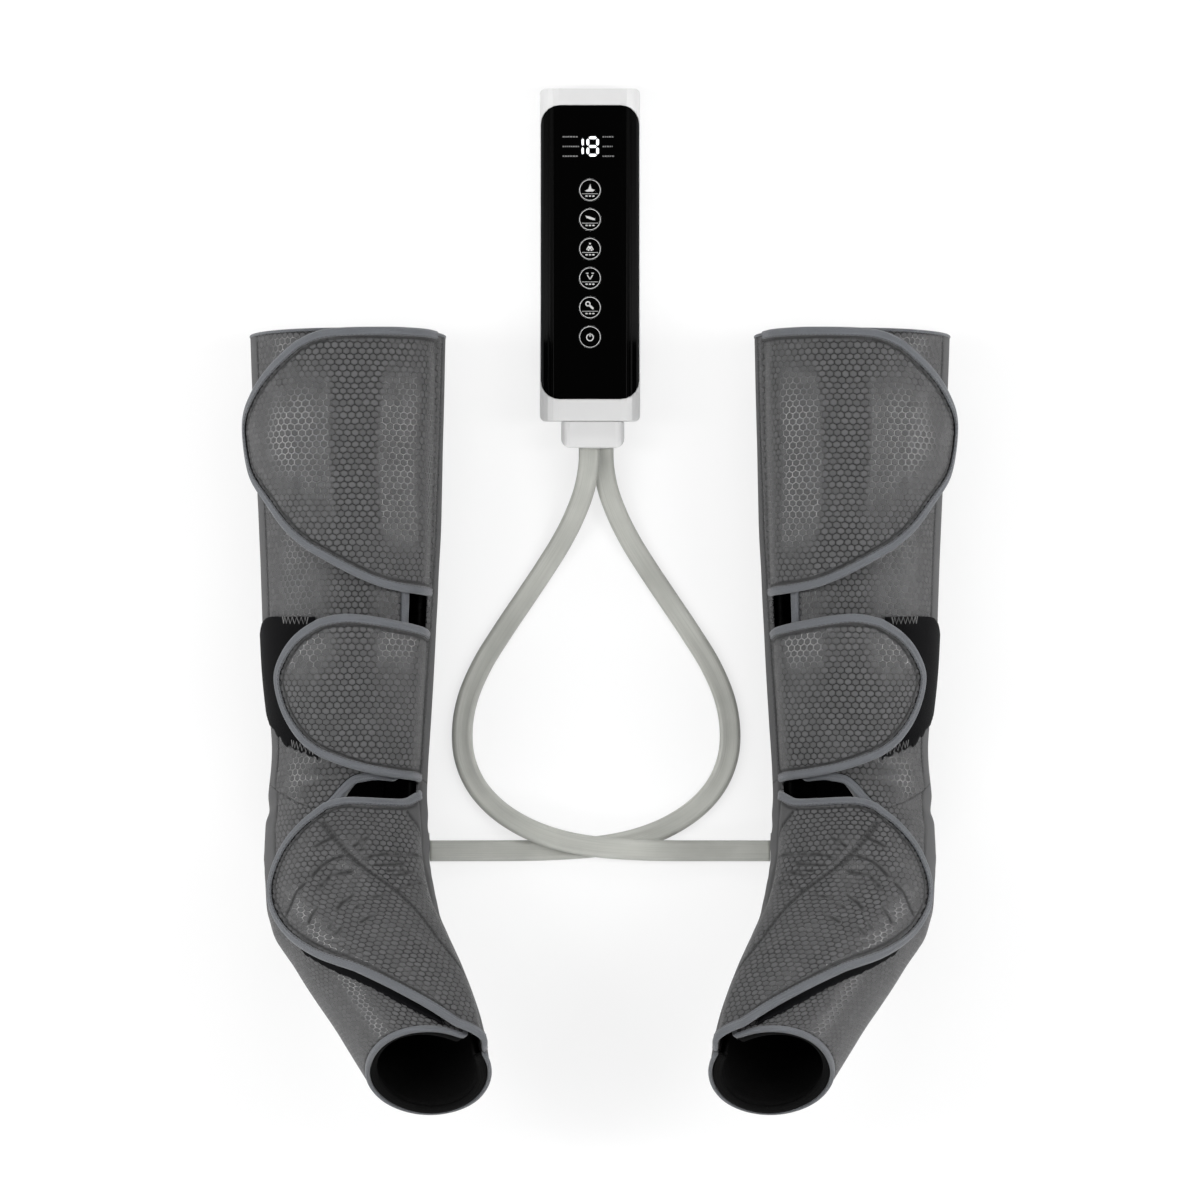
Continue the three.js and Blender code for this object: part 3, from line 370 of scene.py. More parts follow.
def spline(rows, share):
    """Points of a uniform Catmull-Rom line through rows at shares from 0 to 1."""
    rows = np.asarray(rows, float)
    last = len(rows) - 1
    place = np.clip(np.asarray(share, float), 0, 1) * last
    index = np.minimum(place.astype(int), last)
    w = (place - index)[..., None]
    before, start = rows[np.maximum(index - 1, 0)], rows[index]
    end, after = rows[np.minimum(index + 1, last)], rows[np.minimum(index + 2, last)]
    v0, v1 = (end - before) / 2, (after - start) / 2
    return ((2 * start - 2 * end + v0 + v1) * w ** 3
            + (-3 * start + 3 * end - 2 * v0 - v1) * w ** 2 + v0 * w + start)


def leg(angle, run):
    """Points of the left boot's outer surface. The angle is 0 on the inner side and a quarter turn at the
    shin, and the run goes from 0 at the hem to 1 at the toe."""
    angle, run = np.broadcast_arrays(np.asarray(angle, float), np.asarray(run, float))
    back_y, back_z, front_y, front_z, outer, inner = np.moveaxis(spline(STATIONS, run), -1, 0)
    x = (outer + inner) / 2 + (inner - outer) / 2 * np.cos(angle)
    y = (back_y + front_y) / 2 + (front_y - back_y) / 2 * np.sin(angle)
    z = (back_z + front_z) / 2 + (front_z - back_z) / 2 * np.sin(angle)
    return np.stack([x + BOOT_X, BOOT_TOP_Y - y, np.maximum(z, 0)], axis=-1)


def leg_facing(angle, run):
    """Unit directions that point out of the leg surface."""
    step = 1e-3
    low = np.clip(run, step, 1 - step)
    turned = leg(angle + step, low) - leg(angle - step, low)
    down = leg(angle, low + step) - leg(angle, low - step)
    return unit(np.cross(turned, down))


def over(angle, run, height):
    """Points at a height over the leg surface, never under the resting surface."""
    points = leg(angle, run) + leg_facing(angle, run) * np.asarray(height, float)[..., None]
    points[..., 2] = np.maximum(points[..., 2], 0)
    return points


def run_at(angle, along_share):
    """Run at which the surface passes a place along the boot, seen from the front."""
    low, high = np.zeros(np.shape(angle)), np.ones(np.shape(angle))
    target = BOOT_TOP_Y - np.asarray(along_share) * BOOT_LENGTH
    for _ in range(18):
        middle = (low + high) / 2
        above = leg(angle, middle)[..., 1] > target
        low, high = np.where(above, middle, low), np.where(above, high, middle)
    return (low + high) / 2


def arc_table():
    """Distance down the leg along lines of equal angle, and its mean radius, for laying cloth out flat."""
    angles = np.linspace(-HALF_TURN, 3 * HALF_TURN, 145)
    runs = np.linspace(0, 1, 201)
    surface = leg(angles[:, None], runs[None, :])
    steps = np.linalg.norm(np.diff(surface, axis=1), axis=-1)
    down = np.concatenate([np.zeros((len(angles), 1)), np.cumsum(steps, axis=1)], axis=1)
    ring = leg(np.linspace(0, 2 * HALF_TURN, 73)[:, None], runs[None, :])
    radius = np.linalg.norm(np.diff(ring, axis=0), axis=-1).sum(axis=0) / (2 * HALF_TURN)
    return angles, runs, down, radius


ARC_ANGLES, ARC_RUNS, ARC_DOWN, ARC_RADIUS = arc_table()


def flat_cloth(angle, run):
    """Place in the flat cloth, in metres, of a spot on the leg."""
    column = np.interp(angle, ARC_ANGLES, np.arange(len(ARC_ANGLES)))
    row = np.interp(run, ARC_RUNS, np.arange(len(ARC_RUNS)))
    i = np.minimum(column.astype(int), len(ARC_ANGLES) - 2)
    j = np.minimum(row.astype(int), len(ARC_RUNS) - 2)
    s, t = column - i, row - j
    down = mix(mix(ARC_DOWN[i, j], ARC_DOWN[i + 1, j], s),
               mix(ARC_DOWN[i, j + 1], ARC_DOWN[i + 1, j + 1], s), t)
    return np.stack([(angle - QUARTER_TURN) * np.interp(run, ARC_RUNS, ARC_RADIUS), down], axis=-1)


def soft_noise(points, size, seed):
    """Smooth noise from -1 to 1 at points of any dimension, with features of a size."""
    points = np.asarray(points, float) / size
    base = np.floor(points).astype(int)
    share = points - base
    share = share * share * (3 - 2 * share)
    lattice = np.random.default_rng(seed).uniform(-1, 1, 4096)
    primes = np.array([73856093, 19349663, 83492791])[:points.shape[-1]]
    total = np.zeros(points.shape[:-1])
    for corner in np.ndindex(*(2,) * points.shape[-1]):
        at = ((base + corner) * primes).sum(axis=-1) % len(lattice)
        total += lattice[at] * np.prod(np.where(corner, share, 1 - share), axis=-1)
    return total


# Meshes

def make_piece(name, points, faces, flat=None, marks=None):
    """A mesh object from points and faces, turned so that its faces point out. flat is its cloth laid out,
    and marks are named values of its points."""
    points = np.asarray(points, float).reshape(-1, 3)
    mesh = bpy.data.meshes.new(name)
    mesh.from_pydata(points.tolist(), [], [list(map(int, face)) for face in faces])
    if flat is not None:
        layer = mesh.uv_layers.new(name="cloth")
        corner = np.zeros(len(mesh.loops), int)
        mesh.loops.foreach_get("vertex_index", corner)
        layer.data.foreach_set("uv", np.asarray(flat, float).reshape(-1, 2)[corner].ravel())
    for label, values in (marks or {}).items():
        mesh.attributes.new(label, "FLOAT", "POINT").data.foreach_set("value", values)
    work = bmesh.new()
    work.from_mesh(mesh)
    if work.calc_volume(signed=True) < 0:
        bmesh.ops.reverse_faces(work, faces=work.faces)
    work.to_mesh(mesh)
    work.free()
    mesh.polygons.foreach_set("use_smooth", np.ones(len(mesh.polygons), bool))
    piece = bpy.data.objects.new(name, mesh)
    bpy.context.scene.collection.objects.link(piece)
    return piece


def sheet_faces(rows, columns, keep=None):
    """Faces of a closed sheet of rows by columns cells, with the points of its top layer before those of
    its bottom layer. keep says which cells it has."""
    at = np.arange((rows + 1) * (columns + 1)).reshape(rows + 1, columns + 1)
    layer = at.size
    cells = np.stack([at[:-1, :-1], at[:-1, 1:], at[1:, 1:], at[1:, :-1]], axis=-1)
    kept = np.ones((rows, columns), bool) if keep is None else keep
    faces = [cell.tolist() for cell in cells[kept]]
    rim = {}
    for cell in faces:
        for k in range(4):
            edge = (cell[k], cell[(k + 1) % 4])
            if edge[::-1] in rim:
                del rim[edge[::-1]]
            else:
                rim[edge] = True
    bottom = [[layer + p for p in reversed(cell)] for cell in faces]
    sides = [[q, p, layer + p, layer + q] for p, q in rim]
    return faces + bottom + sides


def cloth_piece(name, sign, top, bottom, flat, keep=None, marks=None):
    """A closed sheet of cloth between two layers of points, mirrored for the right boot."""
    rows, columns = top.shape[0] - 1, top.shape[1] - 1
    points = np.concatenate([top.reshape(-1, 3), bottom.reshape(-1, 3)]) * [sign, 1, 1]
    laid = np.concatenate([flat.reshape(-1, 2)] * 2)
    faces = sheet_faces(rows, columns, keep)
    used = np.unique(np.concatenate([np.asarray(face) for face in faces]))
    renumber = np.full(len(points), -1)
    renumber[used] = np.arange(len(used))
    marks = {label: np.concatenate([values.ravel()] * 2)[used]
             for label, values in (marks or {}).items()}
    return make_piece(name, points[used], [renumber[face] for face in faces], laid[used], marks)


def sweep_faces(rings, sides):
    """Faces of a row of rings, with both ends closed."""
    faces = []
    for k in range(rings - 1):
        for i in range(sides):
            p, q = k * sides + i, k * sides + (i + 1) % sides
            faces.append([p, q, q + sides, p + sides])
    faces.append(list(range(sides))[::-1])
    faces.append([(rings - 1) * sides + i for i in range(sides)])
    return faces


def sides_of(points, facings):
    """Unit directions in the surface, to the right of the way a line of points runs."""
    return unit(np.cross(np.gradient(points, axis=0), facings))


def sweep_tape(name, sign, points, facings, corners):
    """A band of cloth along a line on the leg. corners has a (side, height) section for each point."""
    across = sides_of(points, facings)
    body = points[:, None] + across[:, None] * corners[..., :1] + facings[:, None] * corners[..., 1:]
    body[..., 2] = np.maximum(body[..., 2], 0)
    flat = np.stack(np.broadcast_arrays(walked(points)[:, None], walked(corners[0])[None, :]), axis=-1)
    return make_piece(name, body.reshape(-1, 3) * [sign, 1, 1], sweep_faces(*corners.shape[:2]), flat)


def evenly(points, spacing):
    """Places along a line of points in equal steps, as an index and a share of the way to the next."""
    along = walked(points)
    count = max(2, int(round(along[-1] / spacing)))
    return np.interp((np.arange(count) + 0.5) / count * along[-1], along, np.arange(len(points)))


def at_place(values, place):
    index = np.minimum(place.astype(int), len(values) - 2)
    share = (place - index).reshape(-1, *([1] * (values.ndim - 1)))
    return values[index] * (1 - share) + values[index + 1] * share


# Rings of a stitch as [place from its middle to its end, share of its width], and how far its ends dip
STITCH_RINGS = ((-1, 0.35), (-0.7, 0.85), (0, 1), (0.7, 0.85), (1, 0.35))
STITCH_SIDES = 6
STITCH_DIP = 0.35


def sew(name, sign, points, facings, shift, height):
    """A row of stitches beside a line: shift is to its right, height over the surface."""
    cfg = boot_settings()
    across = sides_of(points, facings)
    line = points + across * shift + facings * height
    place = evenly(line, cfg.stitch_pitch)
    middles, ups = at_place(line, place), at_place(facings, place)
    ways = unit(at_place(np.gradient(line, axis=0), place))
    rights = np.cross(ways, ups)
    turns = np.arange(STITCH_SIDES) * 2 * HALF_TURN / STITCH_SIDES
    spokes = (rights[:, None] * np.cos(turns)[None, :, None]
              + ups[:, None] * np.sin(turns)[None, :, None])
    body = []
    for end, fat in STITCH_RINGS:
        dip = cfg.stitch_width * STITCH_DIP * end * end
        ring = middles + ways * end * cfg.stitch_length / 2 - ups * dip
        body.append(ring[:, None] + fat * cfg.stitch_width / 2 * spokes)
    body = np.stack(body, axis=1)
    size = len(STITCH_RINGS) * STITCH_SIDES
    pattern = sweep_faces(len(STITCH_RINGS), STITCH_SIDES)
    faces = [[k * size + i for i in face] for k in range(len(body)) for face in pattern]
    return make_piece(name, body.reshape(-1, 3) * [sign, 1, 1], faces)


def hands_over(piece, body, slot, finish, *nodes, fold=None):
    """Gives a piece its finish and its body, and lets it stand for its solids. A fold is the two places
    between which the piece bends off the boots onto its body."""
    piece.data.materials.clear()
    piece.data.materials.append(finish)
    if fold is None:
        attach(piece, body)
    else:
        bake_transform(piece)
    if nodes:
        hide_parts(*nodes)
    return piece


# Finishes

class Nodes:
    """Short way to lay out shader nodes."""

    def __init__(self, tree):
        self.tree = tree

    def feed(self, socket, value):
        """Links a socket to another one, or sets it to a value."""
        if isinstance(value, bpy.types.NodeSocket):
            self.tree.links.new(value, socket)
        else:
            socket.default_value = value

    def add(self, kind, inputs=None, **settings):
        node = self.tree.nodes.new(kind)
        for name, value in settings.items():
            setattr(node, name, value)
        for name, value in (inputs or {}).items():
            self.feed(node.inputs[name], value)
        return node

    def group(self, tree, inputs):
        return self.add("ShaderNodeGroup", inputs, node_tree=tree).outputs

    def math(self, operation, a, b=0.0, c=0.0):
        return self.add("ShaderNodeMath", {0: a, 1: b, 2: c}, operation=operation).outputs[0]

    def product(self, first, *others):
        for other in others:
            first = self.math("MULTIPLY", first, other)
        return first

    def vector(self, operation, a, b=(0, 0, 0), c=(0, 0, 0), scale=1.0):
        node = self.add("ShaderNodeVectorMath", {0: a, 1: b, 2: c, 3: scale}, operation=operation)
        return node.outputs["Value" if operation in ("DOT_PRODUCT", "LENGTH") else "Vector"]

    def ramp(self, value, low, high, to_low=0.0, to_high=1.0):
        inputs = {"Value": value, "From Min": low, "From Max": high, "To Min": to_low, "To Max": to_high}
        return self.add("ShaderNodeMapRange", inputs, interpolation_type="SMOOTHSTEP").outputs[0]

    def blend(self, factor, a, b, kind="Color"):
        """Two colours, or with kind Vector two vectors, mixed by a factor."""
        node = self.add("ShaderNodeMix", data_type={"Color": "RGBA", "Vector": "VECTOR"}[kind])
        for name, value in (("Factor_Float", factor), (f"A_{kind}", a), (f"B_{kind}", b)):
            self.feed(next(s for s in node.inputs if s.identifier == name), value)
        return next(s for s in node.outputs if s.identifier == f"Result_{kind}")

    def cloth_place(self):
        """Place in the flat cloth, in metres."""
        return self.add("ShaderNodeUVMap", uv_map="cloth").outputs[0]

    def mask(self, name):
        return self.add("ShaderNodeAttribute", attribute_name=name).outputs["Fac"]


def shader_group(name, inputs, outputs, build):
    """A node group built once. inputs are numbers with their defaults, or None for a place; outputs are
    the names of numbers."""
    if name in bpy.data.node_groups:
        return bpy.data.node_groups[name]
    tree = bpy.data.node_groups.new(name, "ShaderNodeTree")
    for label, default in inputs.items():
        kind = "NodeSocketVector" if default is None else "NodeSocketFloat"
        socket = tree.interface.new_socket(label, in_out="INPUT", socket_type=kind)
        if default is not None:
            socket.default_value = default
    for label in outputs:
        tree.interface.new_socket(label, in_out="OUTPUT", socket_type="NodeSocketFloat")
    nodes = Nodes(tree)
    entry, leave = nodes.add("NodeGroupInput"), nodes.add("NodeGroupOutput")
    for label, value in build(nodes, entry.outputs).items():
        tree.links.new(value, leave.inputs[label])
    return tree


# Height over width of the piece of the net that repeats
NET_ROWS = math.sqrt(3)


def honeycomb():
    """Net of hexagons: the net itself, the disc in each cell, and a shade for the cell."""
    def build(n, given):
        pitch = n.add("ShaderNodeCombineXYZ", {axis: given["Pitch"] for axis in range(3)}).outputs[0]
        place = n.vector("MULTIPLY", n.vector("DIVIDE", given["Place"], pitch), (1, 1, 0))
        cell, half = (1.0, NET_ROWS, 1.0), (0.5, NET_ROWS / 2, 0.0)
        moved = n.vector("SUBTRACT", place, half)
        first, second = (n.vector("SUBTRACT", n.vector("WRAP", spot, cell, (0, 0, 0)), half)
                         for spot in (place, moved))
        nearer = n.math("LESS_THAN", n.vector("DOT_PRODUCT", first, first),
                        n.vector("DOT_PRODUCT", second, second))
        local = n.blend(nearer, second, first, "Vector")
        size = n.vector("ABSOLUTE", local)
        split = n.add("ShaderNodeSeparateXYZ", {0: size})
        edge = n.math("MAXIMUM", n.vector("DOT_PRODUCT", size, half), split.outputs[0])
        centre = n.vector("SNAP", n.vector("SUBTRACT", place, local), (0.5, 0.5, 0.5))
        tone = n.add("ShaderNodeTexWhiteNoise", {"Vector": centre}, noise_dimensions="3D")
        return {
            "Net": n.ramp(edge, 0.395, 0.450),
            "Disc": n.math("SUBTRACT", 1.0, n.ramp(n.vector("LENGTH", local), 0.32, 0.42)),
            "Tone": tone.outputs["Value"],
        }
    return shader_group("honeycomb_net", {"Place": None, "Pitch": 0.004}, ("Net", "Disc", "Tone"), build)


def weave():
    """Height of crossed threads."""
    def build(n, given):
        split = n.add("ShaderNodeSeparateXYZ", {0: n.vector("SCALE", given["Place"], scale=given["Threads"])})
        u, v = split.outputs[0], split.outputs[1]

        def wave(way, turns):
            return n.math("SINE", n.product(way, turns))
        over_it = n.math("GREATER_THAN", n.product(wave(u, HALF_TURN), wave(v, HALF_TURN)), 0.0)
        height = n.math("ADD", n.product(over_it, wave(u, 2 * HALF_TURN)),
                        n.product(n.math("SUBTRACT", 1.0, over_it), wave(v, 2 * HALF_TURN)))
        return {"Height": n.math("MULTIPLY_ADD", height, 0.5, 0.5)}
    return shader_group("woven_threads", {"Place": None, "Threads": 1500.0}, ("Height",), build)


def wear():
    """Slow mottling and fine grain in object space."""
    def build(n, given):
        place = n.add("ShaderNodeTexCoord").outputs["Object"]
        slow = n.add("ShaderNodeTexNoise", {"Vector": place, "Scale": given["Patches"], "Detail": 4.0})
        fine = n.add("ShaderNodeTexNoise", {"Vector": place, "Scale": given["Grains"], "Detail": 2.0})
        return {"Patches": slow.outputs[0], "Grain": fine.outputs[0]}
    return shader_group("surface_wear", {"Patches": 30.0, "Grains": 2500.0}, ("Patches", "Grain"), build)


def finish(name, roughness, build=None, colour=None, **constants):
    """A material; build(nodes) returns what feeds the shader's sockets, and Height for its bump."""
    if name in bpy.data.materials:
        return bpy.data.materials[name]
    material = bpy.data.materials.new(name)
    material.use_nodes = True
    material.node_tree.nodes.clear()
    n = Nodes(material.node_tree)
    shader = n.add("ShaderNodeBsdfPrincipled", {"Roughness": roughness})
    out = n.add("ShaderNodeOutputMaterial")
    material.node_tree.links.new(shader.outputs[0], out.inputs[0])
    if colour is not None:
        shader.inputs["Base Color"].default_value = (*colour, 1)
        material.diffuse_color = (*colour, 1)
    for label, value in constants.items():
        shader.inputs[label.replace("_", " ")].default_value = value
    fed = build(n) if build else {}
    height, distance = fed.pop("Height", None), fed.pop("Depth", 0.0002)
    if height is not None:
        bump = n.add("ShaderNodeBump", {"Height": height, "Distance": distance, "Strength": 1.0})
        fed["Normal"] = bump.outputs[0]
    for label, value in fed.items():
        material.node_tree.links.new(value, shader.inputs[label])
    return material


def rgba(colour, share=1.0):
    """A colour with its brightness multiplied by a share."""
    return (*(min(1.0, c * share) for c in colour), 1.0)


def worn_by(n, patches, grains):
    """Mottling and grain with so many features a metre."""
    return n.group(wear(), {"Patches": patches, "Grains": grains})


def cloth_finish():
    """Padded cloth: matt discs in a glossy net, left out on plain parts and darkened in the creases."""
    cfg, tone = boot_settings(), colours()

    def build(n):
        place = n.cloth_place()
        stretch = n.add("ShaderNodeTexNoise", {"Vector": place, "Scale": 70.0, "Detail": 1.0})
        shift = n.vector("SUBTRACT", stretch.outputs["Color"], (0.5, 0.5, 0.5))
        place = n.vector("MULTIPLY_ADD", shift, (0.0022, 0.0022, 0.0), place)
        net = n.group(honeycomb(), {"Place": place, "Pitch": cfg.honeycomb_pitch})
        worn = worn_by(n, 22.0, 1800.0)
        plain, groove_shade = n.mask("plain"), n.mask("groove_shade")
        netted = n.math("SUBTRACT", 1.0, plain)
        clear = n.ramp(worn["Patches"], 0.38, 0.62, 0.6, 1.0)
        shade = n.math("ADD", n.product(worn["Patches"], 0.5), n.product(net["Tone"], 0.35))
        base = n.blend(n.ramp(shade, 0.25, 0.65), rgba(tone.cloth, 0.82), rgba(tone.cloth, 1.15))
        base = n.blend(n.product(worn["Grain"], 0.35), base, rgba(tone.cloth, 0.5))
        # Painted shade: a darker ring in the hollow round each cell's disc.
        ring = n.product(n.math("SUBTRACT", 1.0, net["Disc"]), netted, clear)
        hollow_shaded = n.blend(n.product(ring, 0.85), base, rgba(tone.cloth, 0.20))
        lines = n.product(net["Net"], netted)
        shaded = n.blend(n.product(lines, clear, 0.9), hollow_shaded, rgba(tone.net))
        smooth_cloth = n.blend(worn["Grain"], rgba(tone.cloth, 0.62), rgba(tone.cloth, 0.80))
        toned = n.blend(plain, shaded, smooth_cloth)
        # Painted shade: the cloth is darkened along creases, seams and the grooves beside tapes.
        creased = n.blend(n.product(groove_shade, 0.9), toned, rgba(tone.cloth, 0.08))
        height = n.math("MULTIPLY_ADD", n.product(net["Disc"], netted), 0.45, lines)
        height = n.math("MULTIPLY_ADD", worn["Grain"], 0.18, height)
        return {"Base Color": creased, "Height": height, "Depth": cfg.honeycomb_depth,
                "Roughness": n.ramp(n.math("SUBTRACT", lines, groove_shade), 0, 1, 0.92, 0.26)}
    return finish("padded_cloth", 0.6, build, tone.cloth, IOR=1.6, Specular_IOR_Level=0.75)


def tape_finish():
    tone = colours()

    def build(n):
        threads = n.group(weave(), {"Place": n.cloth_place(), "Threads": 1300.0})["Height"]
        worn = worn_by(n, 60.0, 2600.0)["Patches"]
        base = n.blend(n.ramp(worn, 0.3, 0.7), rgba(tone.tape, 0.82), rgba(tone.tape, 1.15))
        shaded = n.blend(n.product(threads, 0.35), rgba(tone.tape, 0.6), base)
        return {"Base Color": shaded, "Height": threads, "Depth": 0.00018}
    return finish("woven_tape", 0.7, build, tone.tape, Sheen_Weight=0.3, Sheen_Roughness=0.4)


# Stitching: its darkness is partly painted shade in the groove beside the tapes.
def thread_finish():
    def build(n):
        return {"Height": worn_by(n, 200.0, 6000.0)["Grain"], "Depth": 0.00008}
    return finish("thread", 0.6, build, colours().thread, Sheen_Weight=0.2)


def lining_finish():
    tone = colours()

    def build(n):
        threads = n.group(weave(), {"Place": n.cloth_place(), "Threads": 700.0})["Height"]
        return {"Base Color": n.blend(threads, rgba(tone.lining, 0.5), rgba(tone.lining, 1.4)),
                "Height": threads, "Depth": 0.0002}
    return finish("black_lining", 0.95, build, tone.lining, Specular_IOR_Level=0.1)


def fibres(n, stretch, detail):
    """Noise drawn out along the cloth or the hose, by a stretch each way."""
    return n.add("ShaderNodeTexNoise", {
        "Vector": n.vector("MULTIPLY", n.cloth_place(), stretch), "Scale": 1.0, "Detail": detail}).outputs[0]


def loop_finish():
    tone = colours()

    def build(n):
        lines = fibres(n, (900.0, 5000.0, 1.0), 3.0)
        return {"Base Color": n.blend(n.ramp(lines, 0.4, 0.75), rgba(tone.loops, 0.6), rgba(tone.loops, 2.5)),
                "Height": lines, "Depth": 0.00025}
    return finish("loop_cloth", 0.6, build, tone.loops, Specular_IOR_Level=0.03)


def hook_finish():
    def build(n):
        rows = n.add("ShaderNodeTexVoronoi", {"Vector": n.cloth_place(), "Scale": 1100.0})
        return {"Height": n.math("SUBTRACT", 1.0, rows.outputs["Distance"]), "Depth": 0.0004}
    return finish("hook_tape", 0.6, build, (0.012, 0.012, 0.013))


def film_finish():
    tone = colours()

    def build(n):
        worn = worn_by(n, 40.0, 900.0)["Patches"]
        return {"Base Color": n.blend(worn, rgba(tone.film, 0.8), rgba(tone.film, 1.1)),
                "Height": worn, "Depth": 0.0006}
    return finish("welded_film", 0.32, build, tone.film)


def plain_finish(name, colour, roughness, grain=0.00004, patches=0.06, **constants):
    """Moulded or metal surface with a fine grain and slight mottling."""
    def build(n):
        worn = worn_by(n, 35.0, 2200.0)
        shade = n.ramp(worn["Patches"], 0.3, 0.7)
        return {"Base Color": n.blend(shade, rgba(colour, 1 - patches), rgba(colour, 1 + patches)),
                "Roughness": n.ramp(worn["Grain"], 0.3, 0.7, max(roughness - 0.05, 0.02), roughness + 0.05),
                "Height": worn["Grain"], "Depth": grain}
    return finish(name, roughness, build, colour, **constants)


def hose_finish():
    tone = colours()

    def build(n):
        lines = fibres(n, (18.0, 1500.0, 1.0), 2.0)
        worn = worn_by(n, 25.0, 1500.0)["Patches"]
        base = n.blend(n.ramp(worn, 0.3, 0.7), rgba(tone.hose, 0.88), rgba(tone.hose, 1.1))
        return {"Base Color": n.blend(n.ramp(lines, 0.4, 0.7, 0.0, 0.35), base, rgba(tone.hose, 0.7)),
                "Height": lines, "Depth": 0.0001}
    return finish("bonded_tubing", 0.42, build, tone.hose)


def panel_finish(node):
    """Gloss black with a slope beside each long edge, which catches the lamps as a thin line."""
    low, high = (pick(corner[0] for corner in node.bound_box) for pick in (min, max))

    def build(n):
        place = n.add("ShaderNodeTexCoord").outputs["Object"]
        across = n.add("ShaderNodeSeparateXYZ", {0: place}).outputs[0]
        inwards = n.math("MINIMUM", n.math("SUBTRACT", across, low), n.math("SUBTRACT", high, across))
        return {"Height": n.ramp(inwards, 0.0050, 0.0080), "Depth": 0.0011}
    return finish("gloss_panel", 0.18, build, colours().panel, IOR=1.08)


def glow_finish(name, colour, strength):
    """Print that shines a little, as if lit from behind."""
    return finish(name, 0.5, None, colour, Emission_Color=(*colour, 1), Emission_Strength=strength)


# Boots

def seam_run(a):
    """Run of the seam of calf and foot at a share round the wall, with its corners eased."""
    steps = [np.interp(a + step, *np.transpose(SEAM_LINE)) for step in (-0.008, 0, 0.008)]
    return sum(steps) / len(steps)


def calf_spots(a, b):
    """Angle and run at a share round the calf's wall, from slit to slit, and a share down it."""
    return mix(SLIT[1], 2 * HALF_TURN + SLIT[0], a), mix(HEM_SHARE, seam_run(a), b)


def foot_spots(a, b):
    """The same for the foot, whose wall starts lower where the ankle gap is open."""
    opened = 1 - smooth(a, *GAP_SHARES)
    start = mix(seam_run(a) + SEAM_STEP_SHARE, ANKLE_GAP_SHARE, opened)
    return mix(SLIT[1], 2 * HALF_TURN + SLIT[0], a), mix(start, TOE_SHARE, b)


def grid(columns, rows):
    """Shares across and down a sheet of so many cells."""
    return np.meshgrid(np.linspace(0, 1, columns + 1), np.linspace(0, 1, rows + 1))


def creases(points, angle, run):
    """Soft undulation of the outer cloth, stronger where it bends at the ankle and instep."""
    cfg = boot_settings()
    bend = smooth(run, 0.36, 0.46) * (1 - smooth(run, 0.74, 0.9))
    broad = soft_noise(points, 0.045, 3) * 0.7 + soft_noise(points, 0.02, 5) * 0.3
    folds = soft_noise(np.stack([angle * 0.02, run * 0.35], axis=-1), 0.012, 11)
    return cfg.crease_depth * (0.7 * broad + 1.5 * bend * folds)


def past_seam(angle, run, seam, turn=0):
    """Distance round the leg past a seam given as [run, angle]."""
    return (angle - turn - np.interp(run, *np.transpose(seam))) * np.interp(run, ARC_RUNS, ARC_RADIUS)


def build_wall(side, sign, part, spots, rows):
    """Outer cloth of a calf or a foot, drawn in along its two seams."""
    a, b = grid(210, rows)
    angle, run = spots(a, b)
    bottom = over(angle, run, np.full(a.shape, -SHELL_WALL))
    lift = creases(bottom, angle, run) - CLOTH_SINK
    lift -= EDGE_SINK * (1 - smooth(np.minimum(a, 1 - a), 0, 0.012))
    outer = past_seam(angle, run, OUTER_SEAMS[part])
    inner = past_seam(angle, run, INNER_SEAM, 2 * HALF_TURN)
    groove = ridge(outer, SEWN_WIDTH) + ridge(inner, SEWN_WIDTH)
    plain = smooth(outer, 0, 0.002) * (1 - smooth(angle, 3.6, 3.7))
    plain += smooth(angle, 5.9, 6.0) * (1 - smooth(inner, -0.001, 0.001))
    top = over(angle, run, lift - SEWN_DEPTH * groove)
    # Painted shade along both seam grooves, beside the plain cloth past the seams.
    piece = cloth_piece(f"{side}_{part}_cloth", sign, top, bottom, flat_cloth(angle, run),
                        marks={"plain": plain, "groove_shade": 0.9 * groove})
    hands_over(piece, ROOT_BODY, "cloth", cloth_finish(), f"{side}_{part}_shell")


def stitch_calf(side, sign):
    """Stitches down the calf's outer and inner seams."""
    down = np.linspace(*SEAM_STITCH_RUNS, 160)
    for label, seam, turn in (("outer", OUTER_SEAMS["calf"], 0), ("inner", INNER_SEAM, 2 * HALF_TURN)):
        line = turn + np.interp(down, *np.transpose(seam))
        stitches = sew(f"{side}_{label}_seam_stitches", sign, leg(line, down), leg_facing(line, down),
                       0, -0.0002)
        hands_over(stitches, ROOT_BODY, "binding", thread_finish())


def build_walls():
    for side, sign in SIDES:
        build_wall(side, sign, "calf", calf_spots, 96)
        stitch_calf(side, sign)
        build_wall(side, sign, "foot", foot_spots, 110)
        build_lining(side, sign)


def build_lining(side, sign):
    """One black cloth for calf and foot, open at the slit and in the ankle gap."""
    calf_rows, foot_rows, columns = 40, 48, 90
    calf, foot = calf_spots(*grid(columns, calf_rows)), foot_spots(*grid(columns, foot_rows))
    angle, run = np.concatenate([calf, foot], axis=1)
    keep = np.ones((calf_rows + foot_rows + 1, columns), bool)
    keep[calf_rows] = np.arange(columns) / columns >= GAP_SHARES[1]
    quilt = 0.0004 * soft_noise(leg(angle, run), 0.02, 17)
    inner = over(angle, run, LINING_TOP - LINING_WALL - 0.0003 + quilt)
    outer = over(angle, run, np.full(angle.shape, LINING_TOP))
    piece = cloth_piece(f"{side}_inner_cloth", sign, inner, outer, flat_cloth(angle, run), keep)
    hands_over(piece, ROOT_BODY, "lining", lining_finish(), f"{side}_lining")


